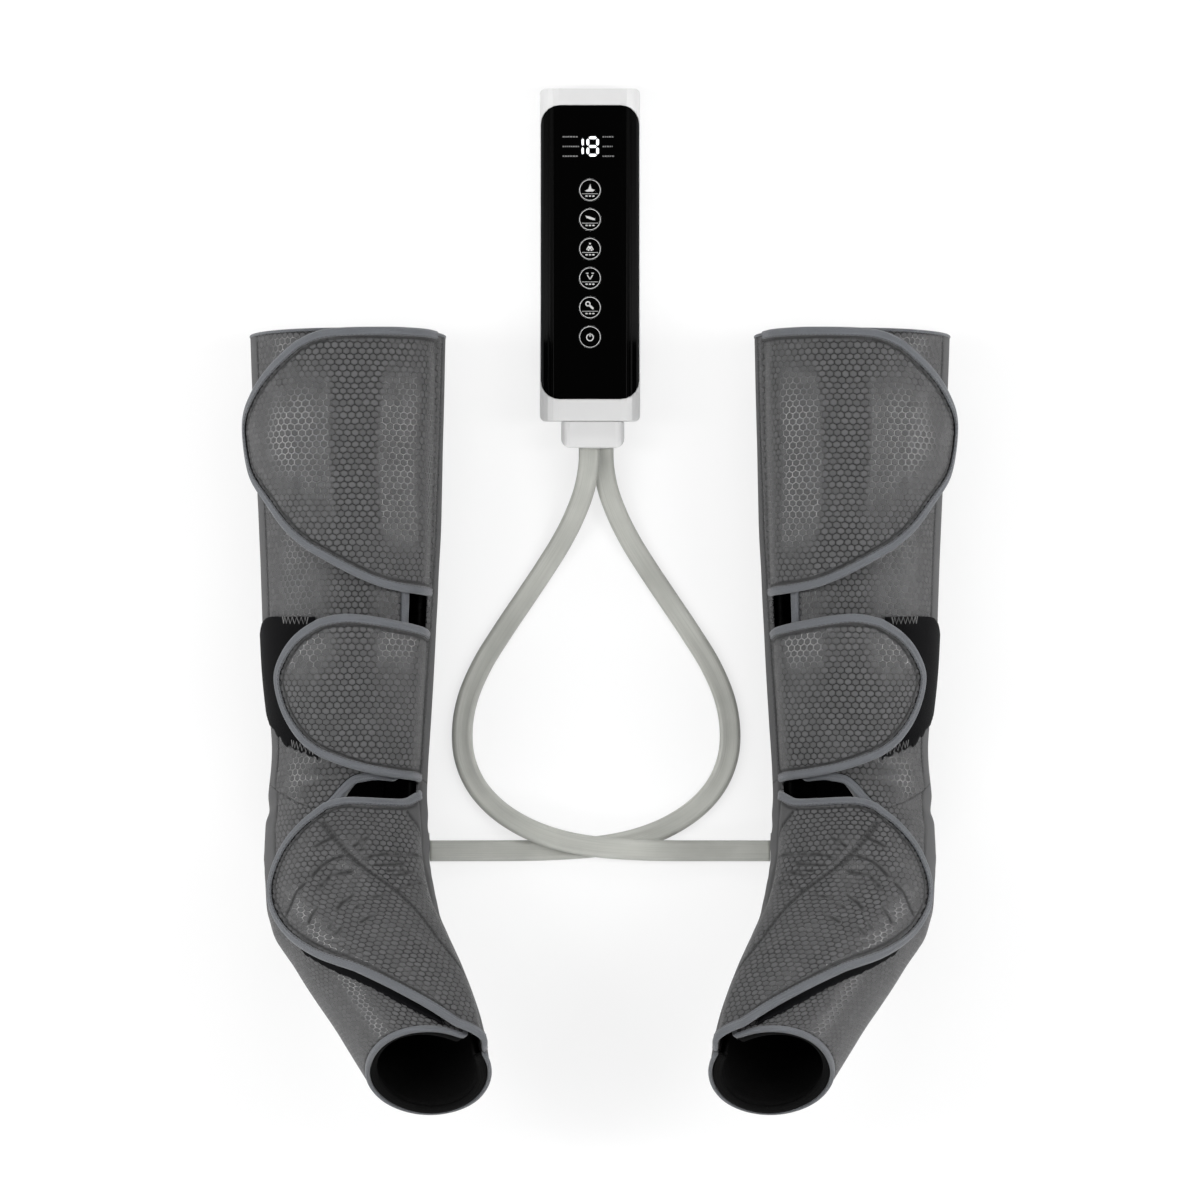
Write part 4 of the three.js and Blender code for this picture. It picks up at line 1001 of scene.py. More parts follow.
def build_bladders():
    film = film_finish()
    for side, sign in SIDES:
        for name, (start, end, top_share, low_share, place) in BLADDERS.items():
            a, b = grid(72, 36)
            spots = calf_spots if place == "calf" else foot_spots
            angle, run = spots(mix(start, end, a), mix(top_share, low_share, b))
            edge = np.minimum.reduce([a * 6, (1 - a) * 6, b * 3, (1 - b) * 3])
            weld = smooth(edge, 0.10, 0.35)
            cells = 0.75 + 0.25 * np.abs(np.sin(a * HALF_TURN * BAG_CELLS))
            bottom = over(angle, run, BAG_TOP - BAG_WALL * mix(*BAG_SHARES, weld * cells))
            top = over(angle, run, np.full(a.shape, BAG_TOP))
            piece = cloth_piece(f"{side}_{name}_bladder", sign, top, bottom, flat_cloth(angle, run))
            hands_over(piece, ROOT_BODY, "bag", film, f"{side}_{name}_air_bag")


def by_angle(rows):
    """Places of the front view, [across, ...], as [angle, ...]."""
    return np.array([[math.acos(row[0]), *row[1:]] for row in rows])


def flap_spots(shape, a, b):
    """Angle and run of the spots of a flap: a from its sewn edge to its free edge, b from top to bottom."""
    top, bottom, free = (by_angle(shape[edge]) for edge in ("top", "bottom", "free"))
    corners = top[0], top[-1], bottom[0], bottom[-1]
    top, bottom, free = spline(top, a), spline(bottom, a), spline(free, b)
    sewn = mix(corners[0], corners[2], b[..., None])
    a, b = a[..., None], b[..., None]
    place = (top * (1 - b) + bottom * b + sewn * (1 - a) + free * a
             - corners[0] * (1 - a) * (1 - b) - corners[1] * a * (1 - b)
             - corners[2] * (1 - a) * b - corners[3] * a * b)
    return place[..., 0], run_at(place[..., 0], place[..., 1])


def flap_under(a):
    """Height of a flap's lower side at a share from its sewn edge."""
    return mix(HINGE_LIFT, FLAP_LIFT, smooth(a, 0, LIFT_SHARE))


def flap_edge(count):
    """Shares of the points round a flap's free edges: out along its top, down, and back along its bottom."""
    t = np.linspace(0, 1, count)
    a = np.concatenate([t, np.ones(count - 1), t[::-1][1:]])
    b = np.concatenate([np.zeros(count), t[1:], np.ones(count - 1)])
    return a, b


def round_corners(points, passes):
    """Eases the corners of an open line of points, keeping its ends."""
    for _ in range(passes):
        points[1:-1] = (points[:-2] + 2 * points[1:-1] + points[2:]) / 4
    return points


def search_tree(points):
    tree = KDTree(len(points))
    for k, place in enumerate(points):
        tree.insert(place, k)
    tree.balance()
    return tree


def nearest_distance(points, line):
    tree = search_tree(line)
    return np.array([tree.find(p)[2] for p in points.reshape(-1, 3)]).reshape(points.shape[:-1])


def front_line(rows):
    """Points and facings of a line given by its places in the front view."""
    spots = spline(by_angle(rows), np.linspace(0, 1, 90))
    angle, run = spots[:, 0], run_at(spots[:, 0], spots[:, 1])
    return leg(angle, run), leg_facing(angle, run)


def on_top(points, base, top):
    """Points on the leg surface moved to the top of the cloth over them."""
    tree = search_tree(base.reshape(-1, 3))
    lift = (top - base).reshape(-1, 3)
    return np.array([place + lift[tree.find(place)[1]] for place in points])


def marked(base, lines, width, wander=0.0, seed=0):
    """How strongly the points of a flap lie on any of some lines."""
    moved = base + wander * soft_noise(base, 0.007, seed)[..., None]
    strength = np.zeros(base.shape[:-1])
    for rows in lines:
        strength = np.maximum(strength, ridge(nearest_distance(moved, front_line(rows)[0]), width))
    return strength


def foot_fold(sign):
    """Two places beside the foot flap's sewn edge, between which its cloth bends as the flap opens."""
    top, low, centre = leg(*flap_spots(FLAP_SHAPES["foot"], np.array([0, 0, 0.5]), np.array([0, 1.0, 0.5])))
    middle, line = (top + low) / 2, low - top
    way = centre - middle
    way = unit(way - line * (way @ line) / (line @ line))
    return [tuple(float(c) for c in (middle + way * reach) * [sign, 1, 1]) for reach in FOOT_FOLD]


def build_seam_strips():
    """Black cloth inside the boot along each flap's seam, so that no light comes through."""
    a, b = grid(6, 60)
    for name, shape in FLAP_SHAPES.items():
        across, top = shape["top"][0]
        angle = mix(SLIT[0] - SEAM_STRIP[0], math.acos(across) + SEAM_STRIP[1], a)
        along = mix(top, shape["bottom"][0][1], b)
        for side, sign in SIDES:
            strip = strip_piece(f"{side}_{name}_seam_strip", sign, angle, along, SEAM_STRIP_LOW,
                                SEAM_STRIP_HIGH)
            hands_over(strip, ROOT_BODY, "lining", lining_finish())


def flap_heights(k, name, spots, base, under, from_edge, from_sewn):
    """Heights of a flap's padded top over the leg, and how dark and how plain its cloth is."""
    cfg = boot_settings()
    angle, run = spots
    inside = cfg.flap_tape + TAPE_GROOVE
    pad = smooth(from_edge, inside, inside + cfg.pad_reach) ** 0.6
    pad *= smooth(from_sewn, 0.001, cfg.pad_reach * 0.8) ** 0.6
    groove = ridge(from_edge - inside, 0.0008)
    wave = soft_noise(base, 0.038, 21 + k) * 0.6 + soft_noise(base, 0.017, 31 + k) * 0.25
    pucker = soft_noise(np.stack([angle * 0.06, run * 0.5], axis=-1), 0.007, 41 + k)
    pucker *= ridge(from_edge - inside - 0.004, 0.005)
    folds = marked(base, FLAP_FOLDS[name], 0.0032)
    creased = marked(base, FLAP_CREASES.get(name, ()), SEWN_WIDTH, 0.0020, 61)
    sewn_in = marked(base, FLAP_SEAMS.get(name, ()), SEWN_WIDTH)
    height = (under + FLAP_WALL - CLOTH_SINK + cfg.pad_height * pad - SEWN_DEPTH * groove
              + cfg.crease_depth * (pad * (wave * 1.5 + folds * 1.1) + 0.5 * pucker - creased)
              - FLAP_SEAM_DEPTH * sewn_in)
    # Painted shade along the creases, the sewn seams and the groove beside the tape.
    marks = {"plain": np.zeros(angle.shape),
             "groove_shade": np.clip(1.5 * creased + 1.9 * sewn_in + 0.7 * groove, 0, 1)}
    if name == "foot":
        down = (BOOT_TOP_Y - base[..., 1]) / BOOT_LENGTH
        marks["plain"] = smooth(np.cos(angle) - np.interp(down, *np.transpose(PLAIN_CORNER)), 0, 0.03)
    return np.maximum(height, under + THINNEST_FLAP), marks


def build_flaps():
    cfg = boot_settings()
    cloth, tape, thread = cloth_finish(), tape_finish(), thread_finish()
    for k, (name, shape) in enumerate(FLAP_SHAPES.items()):
        a, b = grid(180, 160)
        spots = flap_spots(shape, a, b)
        under, base = flap_under(a), leg(*spots)
        edge_a, edge_b = flap_edge(120)
        edge_spots = flap_spots(shape, edge_a, edge_b)
        edge, edge_facing = leg(*edge_spots), leg_facing(*edge_spots)
        sewn_edge = leg(*flap_spots(shape, np.zeros(97), np.linspace(0, 1, 97)))
        height, marks = flap_heights(k, name, spots, base, under, nearest_distance(base, edge),
                                     nearest_distance(base, sewn_edge))
        top, bottom = over(*spots, height), over(*spots, under)
        line = round_corners(edge + edge_facing * (flap_under(edge_a) + FLAP_WALL)[:, None], 6)
        rows = [("edge", line, edge_facing, -cfg.flap_tape + 0.0005, 0.00150)]
        for j, (points, facings) in enumerate(map(front_line, FLAP_SEAMS.get(name, ()))):
            rows.append((f"seam_{j + 1}", on_top(points, base, top), facings, 0, 0.0001))
        for side, sign in SIDES:
            body = f"{side}_{name}_flap"
            fold = foot_fold(sign) if name == "foot" else None
            piece = cloth_piece(f"{side}_{name}_pad", sign, top, bottom, flat_cloth(*spots), marks=marks)
            hands_over(piece, body, "cloth", cloth, f"{side}_{name}_flap", fold=fold)
            band = sweep_tape(f"{side}_{name}_tape", sign, line, edge_facing, flap_tape_section(len(line)))
            hands_over(band, body, "binding", tape, f"{side}_{name}_flap_binding", fold=fold)
            for label, points, facings, shift, proud in rows:
                stitches = sew(f"{side}_{name}_{label}_stitches", sign, points, facings, shift, proud)
                hands_over(stitches, body, "binding", thread, fold=fold)


def flap_tape_section(rings):
    """Section of a flap's tape over its edge: two ridges on top, round the edge and a little way under."""
    width = boot_settings().flap_tape
    section = np.array([
        [0.0003, -0.0022], [0.0010, -0.0020], [0.0013, -0.0012], [0.0013, -0.0002], [0.0010, 0.0008],
        [0.0003, 0.0015], [-0.0006, 0.0018], [-0.0014, 0.0017], [-0.0022, 0.0013], [-0.0028, 0.00155],
        [-width + 0.0008, 0.0016], [-width + 0.0002, 0.0012], [-width, 0.0006],
        [-width + 0.0004, 0.0003], [-0.0024, 0.0004], [-0.0008, 0.0004], [0.0003, 0.0001],
    ])
    return np.repeat(section[None], rings, axis=0)


def wall_tape_section(slim, width):
    """Sections of the tape that closes the wall's edge, one per value of slim, which is 1 where the tape
    binds only the outer cloth and is as narrow as width."""
    full_width = boot_settings().tape_width
    low = -WALL - 0.0009
    thin = -SHELL_WALL - 0.0002
    full = np.array([
        [-0.0013, low], [-0.0005, low + 0.0015], [-0.0004, -0.0010], [-0.0006, -0.0001], [-0.0014, 0.0004],
        [-0.0024, 0.0005], [-0.0031, 0.0001], [-0.0038, 0.00035], [-full_width + 0.0006, 0.0004],
        [-full_width, 0.0002], [-full_width - 0.0003, -0.0008], [-full_width - 0.0003, low],
    ])
    narrow = np.array([
        [-0.04, thin], [-0.02, thin + 0.0006], [-0.02, -0.0012], [-0.04, -0.0006], [-0.15, -0.0002],
        [-0.35, 0.0001], [-0.50, 0.0000], [-0.62, 0.0001], [-0.80, -0.0001], [-0.95, -0.0006],
        [-1.00, -0.0012], [-1.00, thin],
    ]) * np.stack(np.broadcast_arrays(width, 1.0), axis=-1)[:, None]
    return mix(full, narrow, slim[:, None, None])


def inner_edge_section(rings, width):
    """Section of the black cloth that closes the wall under a narrow tape."""
    high, low = -SHELL_WALL - 0.0004, -WALL
    section = np.array([
        [0.0002, low], [0.0002, high], [-0.55 * width, high], [-0.85 * width, high - 0.0006],
        [-width, mix(high, low, 0.5)], [-0.85 * width, low + 0.0006], [-0.55 * width, low],
    ])
    return np.repeat(section[None], rings, axis=0)


def taped_line(parts):
    """A line of spots in order, without doubled points, eased at its corners."""
    spots = [np.stack(part, axis=-1)[min(k, 1):] for k, part in enumerate(parts)]
    return round_corners(np.concatenate(spots), 5).T


def build_wall_tapes():
    cfg = boot_settings()
    tape, black = tape_finish(), lining_finish()
    t = np.linspace(0, 1, 90)
    gap = GAP_SHARES[1]
    rings = np.arange(3 * len(t) - 2)
    hem = taped_line([calf_spots(1 - t, 0 * t), calf_spots(0 * t, t), calf_spots(t * gap, 0 * t + 1)])
    toe = taped_line([foot_spots((1 - t) * (gap - 0.02), 0 * t), foot_spots(0 * t, t),
                      foot_spots(t, 0 * t + 1)])
    at_hem = 1 - smooth(rings, len(t) - 1, len(t) + 9)
    at_toe = smooth(rings, 2 * len(t) - 24, 2 * len(t) - 8)
    hem_width = np.full(len(rings), cfg.hem_width)
    toe_width = np.interp(toe[0], *np.transpose(TOE_TAPE))
    for part, spots, slim, width, deep in (("calf", hem, at_hem, hem_width, cfg.hem_width),
                                           ("foot", toe, at_toe, toe_width, TOE_EDGE_WIDTH)):
        points, facings = leg(*spots), leg_facing(*spots)
        inner = slim > 0.5
        for side, sign in SIDES:
            band = sweep_tape(f"{side}_{part}_tape", sign, points, facings, wall_tape_section(slim, width))
            hands_over(band, ROOT_BODY, "binding", tape, f"{side}_{part}_edge_binding")
            edge = sweep_tape(f"{side}_{part}_inner_edge", sign, points[inner], facings[inner],
                              inner_edge_section(int(inner.sum()), deep))
            hands_over(edge, ROOT_BODY, "lining", black)


def strip_piece(name, sign, angle, along, low, high):
    """A strip of cloth over the leg, at angles and along shares that run across and down it."""
    run = run_at(angle, along)
    a, b = grid(angle.shape[1] - 1, angle.shape[0] - 1)
    bulge = smooth(np.minimum(np.minimum(a, 1 - a) * 2, np.minimum(b, 1 - b) * 2), 0, 0.06)
    top = over(angle, run, mix(low, high, 0.45 + 0.5 * bulge))
    bottom = over(angle, run, np.full(a.shape, low))
    piece = cloth_piece(name, sign, top, bottom, flat_cloth(angle, run))
    return piece


def ragged(angle, b, seed):
    """Uneven lower end of a strip."""
    return 0.004 * smooth(b, 0.94, 1) * soft_noise(np.stack([angle, b * 3], axis=-1), 0.05, seed)


def zigzag(name, sign, rows, strokes, size):
    """A pale thread that goes up and down along a line of the front view."""
    cfg = boot_settings()
    angle, along = spline(by_angle(rows), np.linspace(0, 1, 2 * strokes + 1)).T
    run = run_at(angle, along + size / BOOT_LENGTH * (np.arange(len(along)) % 2 - 0.5))
    turns = np.arange(STITCH_SIDES) * 2 * HALF_TURN / STITCH_SIDES
    section = np.stack([np.sin(turns), np.cos(turns)], axis=-1) * cfg.stitch_width * 0.6
    section += [0, ZIGZAG_HEIGHT]
    return sweep_tape(name, sign, leg(angle, run), leg_facing(angle, run),
                      np.repeat(section[None], len(run), axis=0))


def build_fasteners():
    loops, hooks = loop_finish(), hook_finish()
    # The zigzag stitches are real stitching, and their pale colour is a painted highlight for the glossy
    # net's light band where they sit.
    pale = plain_finish("highlit_thread", (0.22, 0.22, 0.22), 0.6)
    patch_top, hook_top = LAYER_GAP + PATCH_WALL, FLAP_LIFT - LAYER_GAP
    for side, sign in SIDES:
        for label, rows in PATCH_STITCHES.items():
            stitches = zigzag(f"{side}_{label}_patch_stitches", sign, rows, 7, 0.0042)
            hands_over(stitches, ROOT_BODY, "binding", pale)
    a, b = grid(90, 60)
    for name, spans in FASTENERS.items():
        start, end, top, low = spans["loops"]
        angle = mix(start, end, a)
        if name == "middle":
            top, low = (np.interp(angle, *np.transpose(line)) for line in (PATCH_UPPER, PATCH_LOWER))
        along = mix(top, low, b) + ragged(angle, b, 51)
        start, end, top, low = spans["hooks"]
        hook_angle, hook_along = mix(start, end, a[::2, ::2]), mix(top, low, b[::2, ::2])
        for side, sign in SIDES:
            patch = strip_piece(f"{side}_{name}_loops", sign, angle, along, LAYER_GAP, patch_top)
            hands_over(patch, ROOT_BODY, "loop", loops, f"{side}_{name}_loop_patch")
            strip = strip_piece(f"{side}_{name}_hooks", sign, hook_angle, hook_along, hook_top - HOOK_WALL,
                                hook_top)
            hands_over(strip, f"{side}_{name}_flap", "hook", hooks, f"{side}_{name}_hook_strip")
    # A black strip along the foot flap's lower edge, with the finish of the loop cloth.
    a, b = grid(150, 12)
    angle, along, reach = np.moveaxis(spline(by_angle(FLAP_EDGE_BLACK), a), -1, 0)
    fray = 0.0016 * soft_noise(np.stack([a * 1.2, 0 * a], axis=-1), 0.012, 71) * b
    along = along + mix(-0.016, reach, b) + fray
    for side, sign in SIDES:
        border = strip_piece(f"{side}_foot_black_border", sign, angle, along, 0.0002, patch_top)
        hands_over(border, ROOT_BODY, "loop", loops)


# Hoses and plug

def hose_line(route, steps):
    """Points in equal steps along the centripetal line through a route, and its length."""
    p = np.concatenate([[2 * route[0] - route[1]], route, [2 * route[-1] - route[-2]]])
    fine = []
    for k in range(len(p) - 3):
        p0, p1, p2, p3 = p[k:k + 4]
        d = [max(np.linalg.norm(b - a) ** 0.5, 1e-6) for a, b in ((p0, p1), (p1, p2), (p2, p3))]
        t1 = ((p1 - p0) / d[0] - (p2 - p0) / (d[0] + d[1]) + (p2 - p1) / d[1]) * d[1]
        t2 = ((p2 - p1) / d[1] - (p3 - p1) / (d[1] + d[2]) + (p3 - p2) / d[2]) * d[1]
        w = np.linspace(0, 1, 24, endpoint=False)[:, None]
        fine.append((2 * p1 - 2 * p2 + t1 + t2) * w ** 3
                    + (-3 * p1 + 3 * p2 - 2 * t1 - t2) * w ** 2 + t1 * w + p1)
    fine = np.concatenate(fine + [p[-2:-1]])
    along = walked(fine)
    even = np.linspace(0, along[-1], steps + 1)
    return np.stack([np.interp(even, along, fine[:, i]) for i in range(3)], axis=-1), along[-1]


def hose_section():
    """Places up and sideways round two tubes with a waist between them."""
    cfg = bpy.context.scene.massager_hose
    radius = cfg.thickness / 2
    reach = cfg.width / 2 - radius
    turns = np.linspace(-QUARTER_TURN * 1.25, QUARTER_TURN * 1.25, 13)
    half = np.stack([radius * np.sin(turns), reach + radius * np.cos(turns)], axis=-1)
    waist = np.array([[cfg.waist / 2, 0.0006], [cfg.waist / 2, -0.0006]])
    return np.concatenate([half, waist, -half, -waist])


def build_hoses():
    rubber = hose_finish()
    section = hose_section()
    middle, reach, along_y, *heights = HOSE_ROUTE.T
    for (side_name, sign), height in zip(SIDES, heights):
        route = np.stack([middle - sign * reach, along_y, height], axis=-1)
        middles, length = hose_line(route, 260)
        ways = np.gradient(middles, axis=0)
        side = unit(np.stack([-ways[:, 1], ways[:, 0], 0 * ways[:, 0]], axis=-1))
        up = unit(np.cross(ways, side))
        body = middles[:, None] + up[:, None] * section[None, :, :1] + side[:, None] * section[None, :, 1:]
        along = np.linspace(0, length, len(middles))
        flat = np.stack(np.broadcast_arrays(along[:, None], section[None, :, 1]), axis=-1)
        piece = make_piece(f"{side_name}_loop_tubing", body.reshape(-1, 3),
                           sweep_faces(len(middles), len(section)), flat)
        hands_over(piece, ROOT_BODY, "hose", rubber, f"{side_name}_loop_hose")


# Controller

def build_controller():
    tone = colours()
    nodes = frame["nodes"]
    white = plain_finish("white_moulding", tone.housing, 0.38, 0.00002, 0.015)
    collar = plain_finish("grey_collar", (0.26, 0.27, 0.25), 0.5, 0.00004, 0.08)
    looks = {
        "front_housing": white,
        "rear_housing": white,
        "left_air_inlet": collar,
        "right_air_inlet": collar,
        # The plug is the housing's white moulding painted a tenth lighter, to offset the shade the housing
        # casts on it.
        "hose_plug": plain_finish("white_plug_lightened", [1.1 * c for c in tone.housing], 0.38, 0.00002, 0.015),
        "front_panel": panel_finish(nodes["front_panel"]),
        "display": plain_finish("dark_lens", (0.001, 0.001, 0.0015), 0.08, 0.0, 0.1, IOR=1.10),
        "circuit_board": plain_finish("green_laminate", (0.02, 0.14, 0.05), 0.4, 0.00003, 0.15),
        "battery_pack": plain_finish("blue_sleeve", (0.03, 0.11, 0.34), 0.35, 0.00003, 0.08),
        "air_pump": plain_finish("plated_can", (0.5, 0.5, 0.52), 0.35, 0.00002, 0.05, Metallic=0.9),
        "valve_block": plain_finish("dark_moulding", (0.04, 0.04, 0.045), 0.45, 0.00004, 0.08),
        "hose_socket": plain_finish("grey_moulding", (0.26, 0.27, 0.26), 0.5, 0.00003, 0.05),
    }
    for k in range(1, 7):
        looks[f"key_{k}"] = plain_finish("gloss_key", tone.panel, 0.14, 0.0, 0.1, IOR=1.08)
    for name, look in looks.items():
        nodes[name].data.materials.clear()
        nodes[name].data.materials.append(look)
    for name in ("front_housing", "rear_housing", "front_panel", "hose_plug", "hose_socket"):
        soften(nodes[name])
    print_display()
    for k in range(1, 7):
        print_key(k)


def soften(node):
    """Small rounds on the hard edges of a moulding."""
    bevel = node.modifiers.new("edge_round", "BEVEL")
    bevel.width, bevel.segments = 0.0004, 3
    bevel.limit_method, bevel.angle_limit = "ANGLE", math.radians(50)
    bevel.harden_normals = True
    node.data.set_sharp_from_angle(angle=math.radians(40))


def middle_of(node):
    """Middle of a node's box, and the height of its top."""
    corners = [node.matrix_world @ Vector(corner) for corner in node.bound_box]
    low = Vector(map(min, zip(*corners)))
    high = Vector(map(max, zip(*corners)))
    return (low + high) / 2, high.z


def bar(start, end, width):
    """Outline of a straight bar with pointed ends."""
    start, end = np.array(start, float), np.array(end, float)
    way = (end - start) / np.linalg.norm(end - start)
    side = np.array([-way[1], way[0]]) * width / 2
    point = way * width / 2
    return [start, start + point - side, end - point - side, end, end - point + side, start + point + side]


def disc(x, y, radius, steps=20):
    """Outline of a round dot."""
    turns = np.arange(steps) * 2 * HALF_TURN / steps
    return [(x + radius * math.cos(t), y + radius * math.sin(t)) for t in turns]


def arc(x, y, radius, width, start, end, steps=48):
    """Quads of an arc from start to end, as turns from the x axis."""
    turns = np.linspace(start, end, steps + 1) * 2 * HALF_TURN
    low, high = ([(x + r * math.cos(t), y + r * math.sin(t)) for t in turns]
                 for r in (radius - width / 2, radius + width / 2))
    return [[low[k], high[k], high[k + 1], low[k + 1]] for k in range(steps)]


def printed(name, body, finish_, outlines, place, top):
    """Thin print on a flat top: each outline is a list of places beside a middle."""
    lift = bpy.context.scene.massager_controller.print_lift
    points, faces = [], []
    for outline in outlines:
        flat = [(place[0] + x, place[1] + y) for x, y in outline]
        turn = sum(p[0] * q[1] - q[0] * p[1] for p, q in zip(flat, flat[1:] + flat[:1]))
        flat = flat if turn > 0 else flat[::-1]
        first, count = len(points), len(flat)
        points += [(x, y, top + lift) for x, y in flat] + [(x, y, top - lift) for x, y in flat]
        faces.append([first + k for k in range(count)])
        faces.append([first + count + k for k in reversed(range(count))])
        faces += [[first + k, first + count + k, first + count + (k + 1) % count, first + (k + 1) % count]
                  for k in range(count)]
    piece = make_piece(name, points, faces)
    piece.data.polygons.foreach_set("use_smooth", np.zeros(len(piece.data.polygons), bool))
    return hands_over(piece, body, "display", finish_)


# Marks beside the figures: lengths, pitch of their rows, and half their height, which also parts them
MARK_SIZES = (0.0006, 0.0015)
MARK_ROWS = 0.0060
MARK_HALF = 0.0004


def print_display():
    """Figures 18 and rows of plain marks beside them."""
    cfg, tone = bpy.context.scene.massager_controller, colours()
    middle = middle_of(frame["nodes"]["display"])[0]
    top = middle_of(frame["nodes"]["front_panel"])[1]
    h, t = cfg.figure_height, cfg.figure_height * 0.16
    w, gap = h * 0.56, t * 0.28
    low, high, left, right = -h / 2, h / 2, -w / 2, w / 2
    ends = {
        "top": ((left + gap, high), (right - gap, high)), "mid": ((left + gap, 0), (right - gap, 0)),
        "low": ((left + gap, low), (right - gap, low)), "left_up": ((left, gap), (left, high - gap)),
        "left_low": ((left, low + gap), (left, -gap)), "right_up": ((right, gap), (right, high - gap)),
        "right_low": ((right, low + gap), (right, -gap)),
    }
    figures = [bar(*pair, t) for pair in ends.values()]
    before = -w / 2 - t * 1.87
    figures += [bar((before, gap), (before, high - gap), t * 0.8),
                bar((before, low + gap), (before, -gap), t * 0.8)]
    lit = glow_finish("lit_figures", tone.figures, 0.75)
    printed("display_figures", "controller", lit, figures, (middle.x + 0.0017, middle.y), top)
    marks = []
    sizes = np.random.default_rng(7).uniform(*MARK_SIZES, 60)
    for row in (-1, 0, 1):
        low, high = row * MARK_ROWS - MARK_HALF, row * MARK_ROWS + MARK_HALF
        for start, end in ((-0.0170, -0.0070 - 0.0006 * abs(row)), (0.0078, 0.0138)):
            x, k = start, 0
            while x < end:
                next_x = x + sizes[(row * 7 + k * 3 + int(start > 0) * 11) % len(sizes)]
                marks.append([(x, low), (next_x, low), (next_x, high), (x, high)])
                x, k = next_x + MARK_HALF, k + 1
    dim = plain_finish("dim_marks", [0.35 * c for c in tone.signs], 0.5)
    printed("display_marks", "controller", dim, marks, (middle.x, middle.y), top)


# Width of the lines of a sign, as a share of its ring's radius
SIGN_LINE = 0.09


def key_sign(k):
    """Plain sign of a key, in a ring of radius 1."""
    if k == 1:
        return [[(-0.50, -0.08), (-0.15, 0.10), (0.02, 0.60), (0.15, 0.12), (0.48, 0.02), (0.30, -0.14),
                 (-0.30, -0.16)]]
    if k == 2:
        return [[(-0.45, 0.36), (-0.08, 0.30), (0.50, 0.08), (0.46, -0.08), (0.02, 0.0), (-0.32, 0.14)]]
    if k == 3:
        arms = [bar((x * 0.10, 0.30), (x * 0.34, -0.12), SIGN_LINE) for x in (-1, 1)]
        return [disc(0, 0.50, 0.09), *arms, disc(0, 0.10, 0.15), disc(-0.14, -0.12, 0.09),
                disc(0.14, -0.12, 0.09)]
    if k == 4:
        ends = (((-0.40, 0.48), (-0.12, 0.48)), ((0.12, 0.48), (0.40, 0.48)),
                ((-0.28, 0.34), (0, -0.12)), ((0.28, 0.34), (0, -0.12)))
        return [bar(start, end, SIGN_LINE) for start, end in ends]
    if k == 5:
        return [*arc(-0.20, 0.36, 0.20, 0.12, 0, 1, 20), bar((-0.10, 0.26), (0.36, -0.16), 0.20)]
    width = 1.2 * SIGN_LINE
    return [*arc(0, -0.05, 0.32, width, 0.31, 1.19, 32), bar((0, -0.02), (0, 0.38), width)]


def print_key(k):
    """Ring and sign on a key, and under all signs but the last a line with three short strokes."""
    cfg, tone = bpy.context.scene.massager_controller, colours()
    middle, top = middle_of(frame["nodes"][f"key_{k}"])
    radius = cfg.ring_radius
    outlines = [*arc(0, 0, 1, cfg.ring_width / radius, 0, 1, 64), *key_sign(k)]
    if k < 6:
        outlines.append(bar((-0.80, -0.36), (0.80, -0.36), 0.04))
        outlines += [bar((x - 0.13, -0.58), (x + 0.13, -0.58), 0.13) for x in (-0.33, 0, 0.33)]
    outlines = [[(radius * x, radius * y) for x, y in outline] for outline in outlines]
    grey = glow_finish("grey_print", tone.signs, 0.05)
    printed(f"key_{k}_print", f"key_{k}", grey, outlines, (middle.x, middle.y), top)


# Stage

# How far the floor lies under the set, and how much of it shines white where it is seen
FLOOR_DROP = 0.0002
FLOOR_WHITENESS = 0.7
SKY_STRENGTH = 0.30
# Height at which the view is as wide as the photograph
VIEW_HEIGHT = 0.03
# Lamps: name, place, size, power, and whether glossy surfaces mirror them
LAMPS = (
    ("left_strip", (-1.9, 0.1, 0.66), (3.6, 0.34), 38, True),
    ("right_strip", (1.9, 0.1, 0.66), (3.6, 0.34), 38, True),
    ("left_top_strip", (-1.25, 0.2, 1.9), (2.0, 0.22), 12, False),
    ("right_top_strip", (1.25, 0.2, 1.9), (2.0, 0.22), 12, False),
    ("head_lamp", (0.0, 2.2, 1.9), (1.6, 0.7), 15, True),
    ("foot_lamp", (0.0, -2.4, 1.7), (1.6, 0.7), 24, True),
)


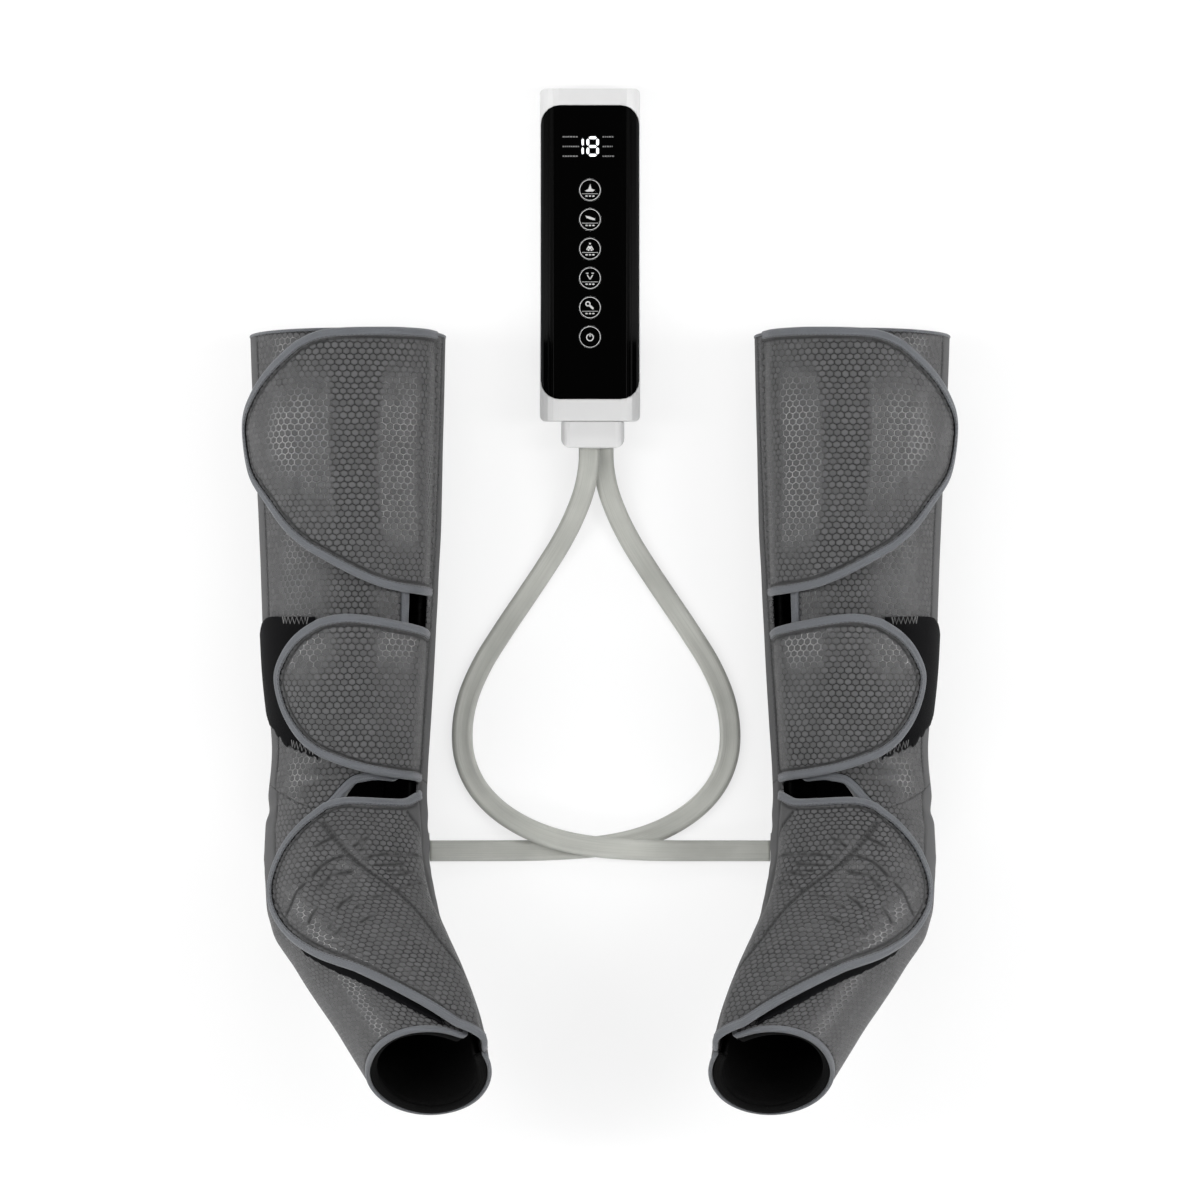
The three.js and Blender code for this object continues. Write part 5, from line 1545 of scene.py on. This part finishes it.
def build_stage():
    cfg = bpy.context.scene.massager_stage
    scene = bpy.context.scene
    data = bpy.data.cameras.new("camera")
    data.lens, data.sensor_width = cfg.lens, 36
    distance = cfg.view_width * data.lens / data.sensor_width
    data.clip_start, data.clip_end = 0.1, distance * 3
    camera = bpy.data.objects.new("camera", data)
    camera.location = (0, 0, distance + VIEW_HEIGHT)
    scene.collection.objects.link(camera)
    scene.camera = camera
    scene.view_settings.view_transform = "Standard"

    half = cfg.floor_size / 2
    corners = [[x * half, y * half, -FLOOR_DROP] for x, y in ((-1, -1), (1, -1), (1, 1), (-1, 1))]
    floor = make_piece("floor", corners, [[0, 1, 2, 3]])
    material = bpy.data.materials.new("pale_floor")
    material.use_nodes = True
    material.node_tree.nodes.clear()
    n = Nodes(material.node_tree)
    matt = n.add("ShaderNodeBsdfPrincipled", {"Base Color": (0.92, 0.92, 0.92, 1), "Roughness": 0.9})
    white = n.add("ShaderNodeEmission", {"Color": (1, 1, 1, 1), "Strength": 1.0})
    rays = n.add("ShaderNodeLightPath").outputs
    straight = n.math("MAXIMUM", rays["Is Camera Ray"],
                      n.math("MAXIMUM", rays["Is Glossy Ray"], rays["Is Transmission Ray"]))
    seen = n.product(straight, FLOOR_WHITENESS)
    both = n.add("ShaderNodeMixShader", {0: seen, 1: matt.outputs[0], 2: white.outputs[0]})
    out = n.add("ShaderNodeOutputMaterial")
    material.node_tree.links.new(both.outputs[0], out.inputs[0])
    floor.data.materials.append(material)

    world = bpy.data.worlds.new("studio")
    world.use_nodes = True
    sky = world.node_tree.nodes["Background"]
    sky.inputs[0].default_value = (1, 1, 1, 1)
    sky.inputs[1].default_value = SKY_STRENGTH
    scene.world = world
    for name, place, size, power, mirrored in LAMPS:
        light = bpy.data.lights.new(name, "AREA")
        light.shape, light.energy = "RECTANGLE", power
        light.size, light.size_y = size
        lamp = bpy.data.objects.new(name, light)
        lamp.location = place
        lamp.visible_glossy = mirrored
        lamp.rotation_mode = "QUATERNION"
        up = "X" if abs(place[0]) > abs(place[1]) else "Y"
        lamp.rotation_quaternion = (-Vector(place)).to_track_quat("-Z", up)
        scene.collection.objects.link(lamp)


# Operators

def operator(name, label, doc, build):
    """An operator class that runs one builder."""
    def execute(self, context):
        build()
        return {"FINISHED"}
    return type(f"MASSAGER_OT_{name}", (bpy.types.Operator,), {
        "bl_idname": f"massager.{name}", "bl_label": label, "__doc__": doc, "execute": execute})


OPERATORS = [
    operator("stage", "Stage", "Camera, floor and lamps", build_stage),
    operator("hoses", "Hoses", "Flat hoses from the plug to the boots", build_hoses),
    operator("walls", "Boot walls", "Outer cloth and lining of both boots", build_walls),
    operator("bladders", "Air bags", "Welded air bags inside the walls", build_bladders),
    operator("flaps", "Flaps", "Padded flaps with their tapes and stitches", build_flaps),
    operator("seam_strips", "Seam strips", "Black cloth behind the seams of the flaps", build_seam_strips),
    operator("tapes", "Edge tapes", "Tapes on the edges of the walls", build_wall_tapes),
    operator("fasteners", "Fasteners", "Loop patches and hook strips", build_fasteners),
    operator("controller", "Controller", "Finishes of the controller and its pieces", build_controller),
]


class MASSAGER_PT_sidebar(bpy.types.Panel):
    """Lists the massager's pieces and settings"""
    bl_idname = "MASSAGER_PT_sidebar"
    bl_label = "Leg massager"
    bl_space_type = "VIEW_3D"
    bl_region_type = "UI"
    bl_category = "Leg massager"

    def draw(self, context):
        for tool in OPERATORS:
            self.layout.operator(tool.bl_idname)
        for label, settings in SETTING_GROUPS.items():
            box = self.layout.box()
            for field in settings.__annotations__:
                box.prop(getattr(context.scene, label), field)


def register():
    for label, settings in SETTING_GROUPS.items():
        bpy.utils.register_class(settings)
        setattr(bpy.types.Scene, label, bpy.props.PointerProperty(type=settings))
    for tool in (*OPERATORS, MASSAGER_PT_sidebar):
        bpy.utils.register_class(tool)


def unregister():
    for tool in (*OPERATORS, MASSAGER_PT_sidebar):
        bpy.utils.unregister_class(tool)
    for label, settings in SETTING_GROUPS.items():
        delattr(bpy.types.Scene, label)
        bpy.utils.unregister_class(settings)


def main():
    register()
    for tool in OPERATORS:
        getattr(bpy.ops.massager, tool.bl_idname.split(".")[1])()


if __name__ == "__main__":
    main()
